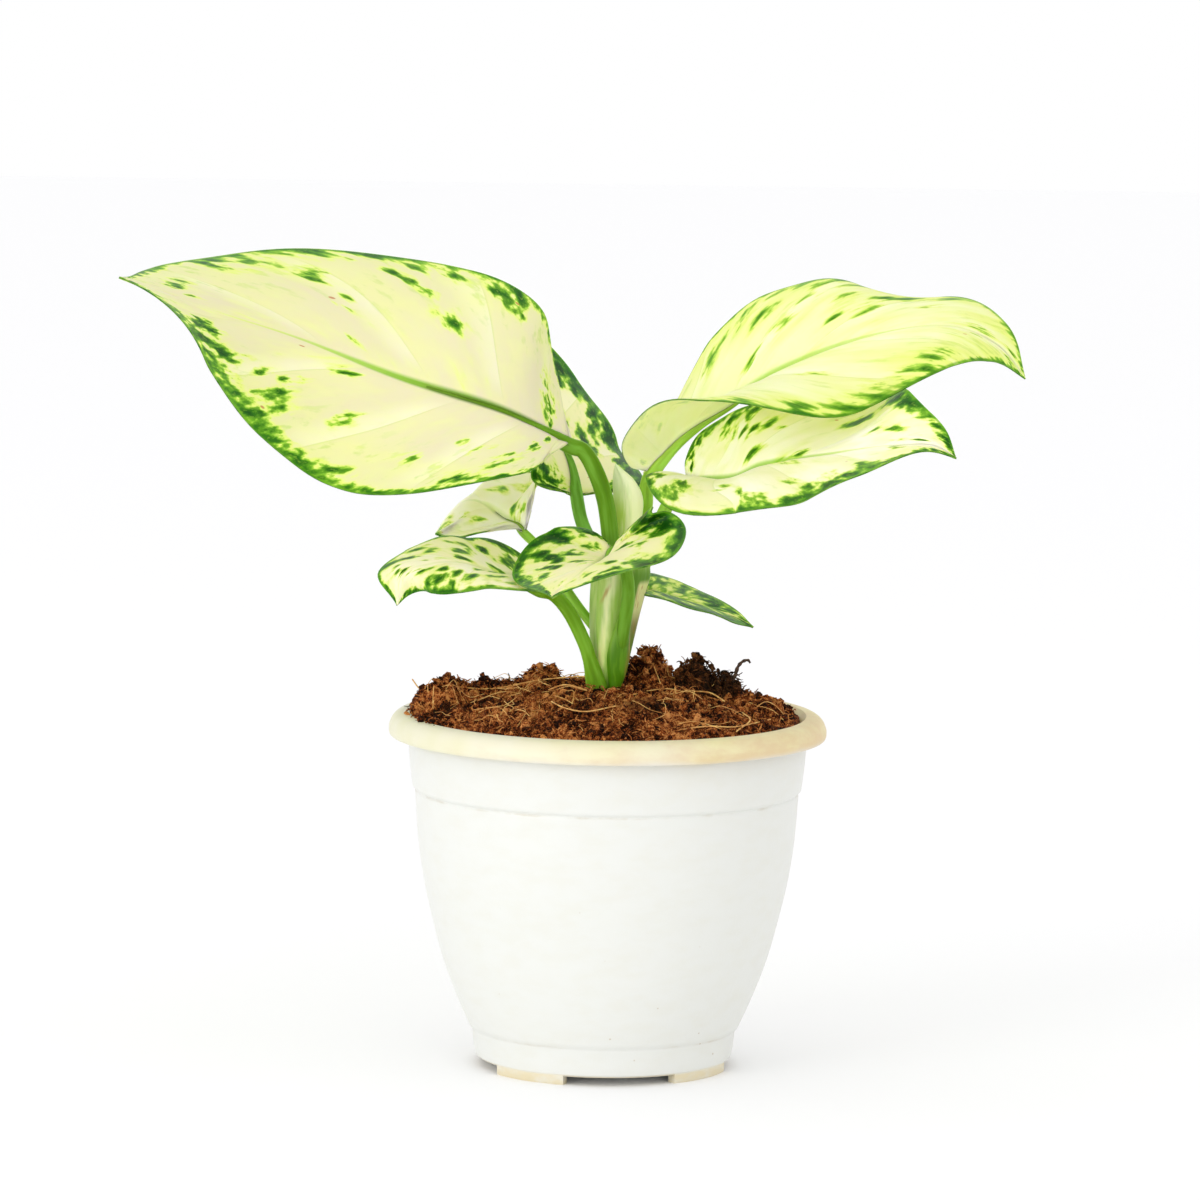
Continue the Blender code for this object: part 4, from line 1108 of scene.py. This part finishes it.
def markValues(leaf, table, signed, t):  # where the dark green is: above 0 inside the bands and the marks
    v = np.abs(signed)
    band = np.where(signed > 0, smoothThrough(leaf["bands"][0], t), smoothThrough(leaf["bands"][1], t))
    inside = v - 1 + band
    value = np.clip(inside / np.where(inside < 0, 0.3 * band + 0.02, 0.6 * band + 0.035), -1.2, 0.75)
    length = float(table[2][-1])
    for mark in leaf["marks"]:
        at, across, size, strength = np.divide(mark, (1000, 100, 10, 100))
        width = leaf["width"][0 if across > 0 else 1]
        gap = ((t - at) * length / size) ** 2 + ((signed - across) * width / (size * 1.5)) ** 2
        if strength > 0:
            value = np.maximum(value, (strength + 0.9) * np.exp(-0.7 * gap) - 0.9)
        else:
            value = value + strength * np.exp(-gap)
    return value


def leafPaint(leaf, table, face):
    length, width = float(table[2][-1]), float(max(leaf["width"]))

    def build(start):
        across, t, none = start.node("ShaderNodeUVMap", {"uv_map": "UVMap"}).parts()
        signed = across * 2 - 1
        v = abs(signed)
        side = signed.rise(-0.001, 0.001)
        seat = side * 37 + leaf["seed"]
        streak = start.point(t * (length * 0.3), v * (width * 0.06), seat).grain(1.0, 2.0, 0.5)
        blotch = start.point(t * (length * 0.1), v * (width * 0.07), seat + 5).grain(1.0, 2.0, 0.55)
        mottle = start.point(t * (length * 0.42), v * (width * 0.2), seat + 9).grain(1.0, 1.2, 0.5)
        holes = start.point(t * (length * 0.26), v * (width * 0.2), seat + 13).cells(1.0)
        mark = start.node("ShaderNodeAttribute", {"attribute_name": "mark"}, None, 2)
        fine = start.point(t * (length * 0.95), v * (width * 0.5), seat + 21).grain(1.0, 2.0, 0.6)
        rough = mark.rise(-1.0, -0.1) * 1.1 + 0.3
        field = mark * 0.46 + (streak - 0.5) * (1.15 * leaf["streaks"]) + (blotch - 0.5) * 0.8 \
            + (mottle - 0.5) * rough + leaf["flecks"] - (1 - holes.rise(0.15, 0.4)) * mark.rise(-0.2, 0.3) * 0.22 \
            + (fine - 0.5) * (mark.rise(-1.0, 0.0) * 0.5 + 0.12)
        lime = (v.rise(0.3, 1.0) * 0.7 + (blotch - 0.4) * 2.0 + (streak - 0.5) * 1.2).most(0.0).least(1.0)
        base = start.mix(lime * leaf["lime"], leaf["cream"], greens["lime"])
        # painted highlight just past each lateral vein and painted shade growing towards the next, for the
        # corrugated blade
        phase = (t * leaf["veins"] + (1 - side) * 0.4).fraction()
        saw = (phase + 0.5).fraction()
        span = v.rise(0.03, 0.25) * (1 - v.rise(0.75, 0.97)) * t.rise(0.14, 0.32) * (1 - t.rise(0.7, 0.92))
        base = start.mix(saw.rise(0.35, 1.0) * span * 0.42, base, greens["veinShadeAndBlotch"])
        base = start.mix((1 - saw.rise(0.0, 0.35)) * span * 0.4, base, greens["paleAndVeinHighlight"])
        base = start.mix(saw.near(1.0, 0.03) * span * 0.2, base, greens["spring"])
        # random blotches in the same beige
        base = start.mix(blotch.rise(0.45, 0.75) * 0.4, base, greens["veinShadeAndBlotch"])
        wisps = ((mottle - 0.5) * 0.9 + (streak - 0.5) * 1.1 + (fine - 0.5) * 0.5 + 0.5).rise(0.56, 0.8)
        base = start.mix(wisps * v.rise(0.2, 0.9) * 0.38, base, greens["spring"])
        colour = start.mix(field.rise(-0.3, 0.02) * 0.8, base, greens["lime"])
        green = (field * leaf["depth"]).ramp((0.0, greens["lime"]), (0.09, greens["spring"]), (0.2, greens["green"]),
                           (0.34, greens["dark"]), (0.56, greens["deep"]))
        green = start.mix(fine.rise(0.54, 0.68) * 0.45, green, start.mix(0.5, greens["green"], greens["spring"]))
        colour = start.mix(field.rise(-0.08, 0.06), colour, green)
        near = 1 - v.rise(0.7 / width, 2.3 / width)
        ribs = t.ramp((0.5, leaf["stem"]), (0.74, greens["spring"]), (0.88, greens["lime"]),
                      (0.97, greens["paleAndVeinHighlight"]))
        colour = start.mix(near * (0.95 - t.rise(0.6, 0.9) * 0.4) * leaf["rib"], colour, ribs)
        edge = v.rise(1 - 1.1 / width, 1 - 0.4 / width)
        colour = start.mix(edge * 0.8, colour, start.mix(blotch.rise(0.4, 0.6), greens["green"], greens["dark"]))
        dots = 1 - start.point(t * 9, across * 7, leaf["seed"]).cells(1.0).rise(0.025, 0.045)
        colour = start.mix(dots * 0.7, colour, greens["speck"])
        if face == "under":
            colour = start.mix(leaf["under"], colour, leaf["underside"])
        relief = saw.near(1.0, 0.04) * -0.6 + mottle * 0.2 + streak * 0.3
        return {"Base Color": colour, "Roughness": 0.48 - field.rise(0.0, 0.4) * 0.12,
                "Normal": bumped(start, relief, 0.35, 0.35)}

    return build


def stalkPaint(leaf):
    def build(start):
        spot = start.node("ShaderNodeUVMap", {"uv_map": "UVMap"})
        turn, along, none = spot.parts()
        streak = start.point(turn * 6, along * (leaf["stalkLength"] / 14), leaf["seed"]).grain(1.0, 3)
        base = paint(*leaf["stem"])
        pale = tuple(min(1, c * 1.35 + 0.03) for c in base[:3]) + (1.0,)
        deep = tuple(c * 0.72 for c in base[:3]) + (1.0,)
        colour = start.mix(streak.rise(0.4, 0.68), base, pale)
        colour = start.mix((1 - streak).rise(0.52, 0.7) * 0.7, colour, deep)
        return {"Base Color": colour, "Roughness": 0.48 + streak * 0.15,
                "Normal": bumped(start, streak, 0.3, 0.3)}
    return build


def rimPaint(start):
    return {"Base Color": objectPoint(start).grain(0.5, 2).ramp((0.3, greens["margin"]),
                                                                (0.7, greens["paleMargin"]))}


def leafFinishes(leaf, table):
    soft = {"Subsurface_Weight": 0.7, "Subsurface_Scale": 0.003, "Subsurface_Radius": (0.7, 0.9, 0.45),
            "Specular_IOR_Level": 0.12}
    title = leaf["name"]
    return [finish(title + "Top", leafPaint(leaf, table, "top"), **soft),
            finish(title + "Underside", leafPaint(leaf, table, "under"), **soft),
            finish(title + "Margin", rimPaint, Roughness=0.5, Specular_IOR_Level=0.1),
            finish(title + "Stalk", stalkPaint(leaf), **soft)]


def makeLeaf(node, leaf):
    table = midribTable(leaf)
    blade = makeBlade(leaf, table)
    path = stalkPath(leaf, table)
    stalk = sweep("stalk", path, *leaf["stalkGrid"], lambda angle, along: 1 + 0.02 * np.sin(angle * 9))
    stalk.data.materials.append(blade.data.materials[3])
    handOver(smoothAll(joined(leaf["name"], blade, stalk), leaf["smoothAngle"]), None, node)


for node, leaf in leaves.items():
    makeLeaf(node, {**everyLeaf, **leaf})
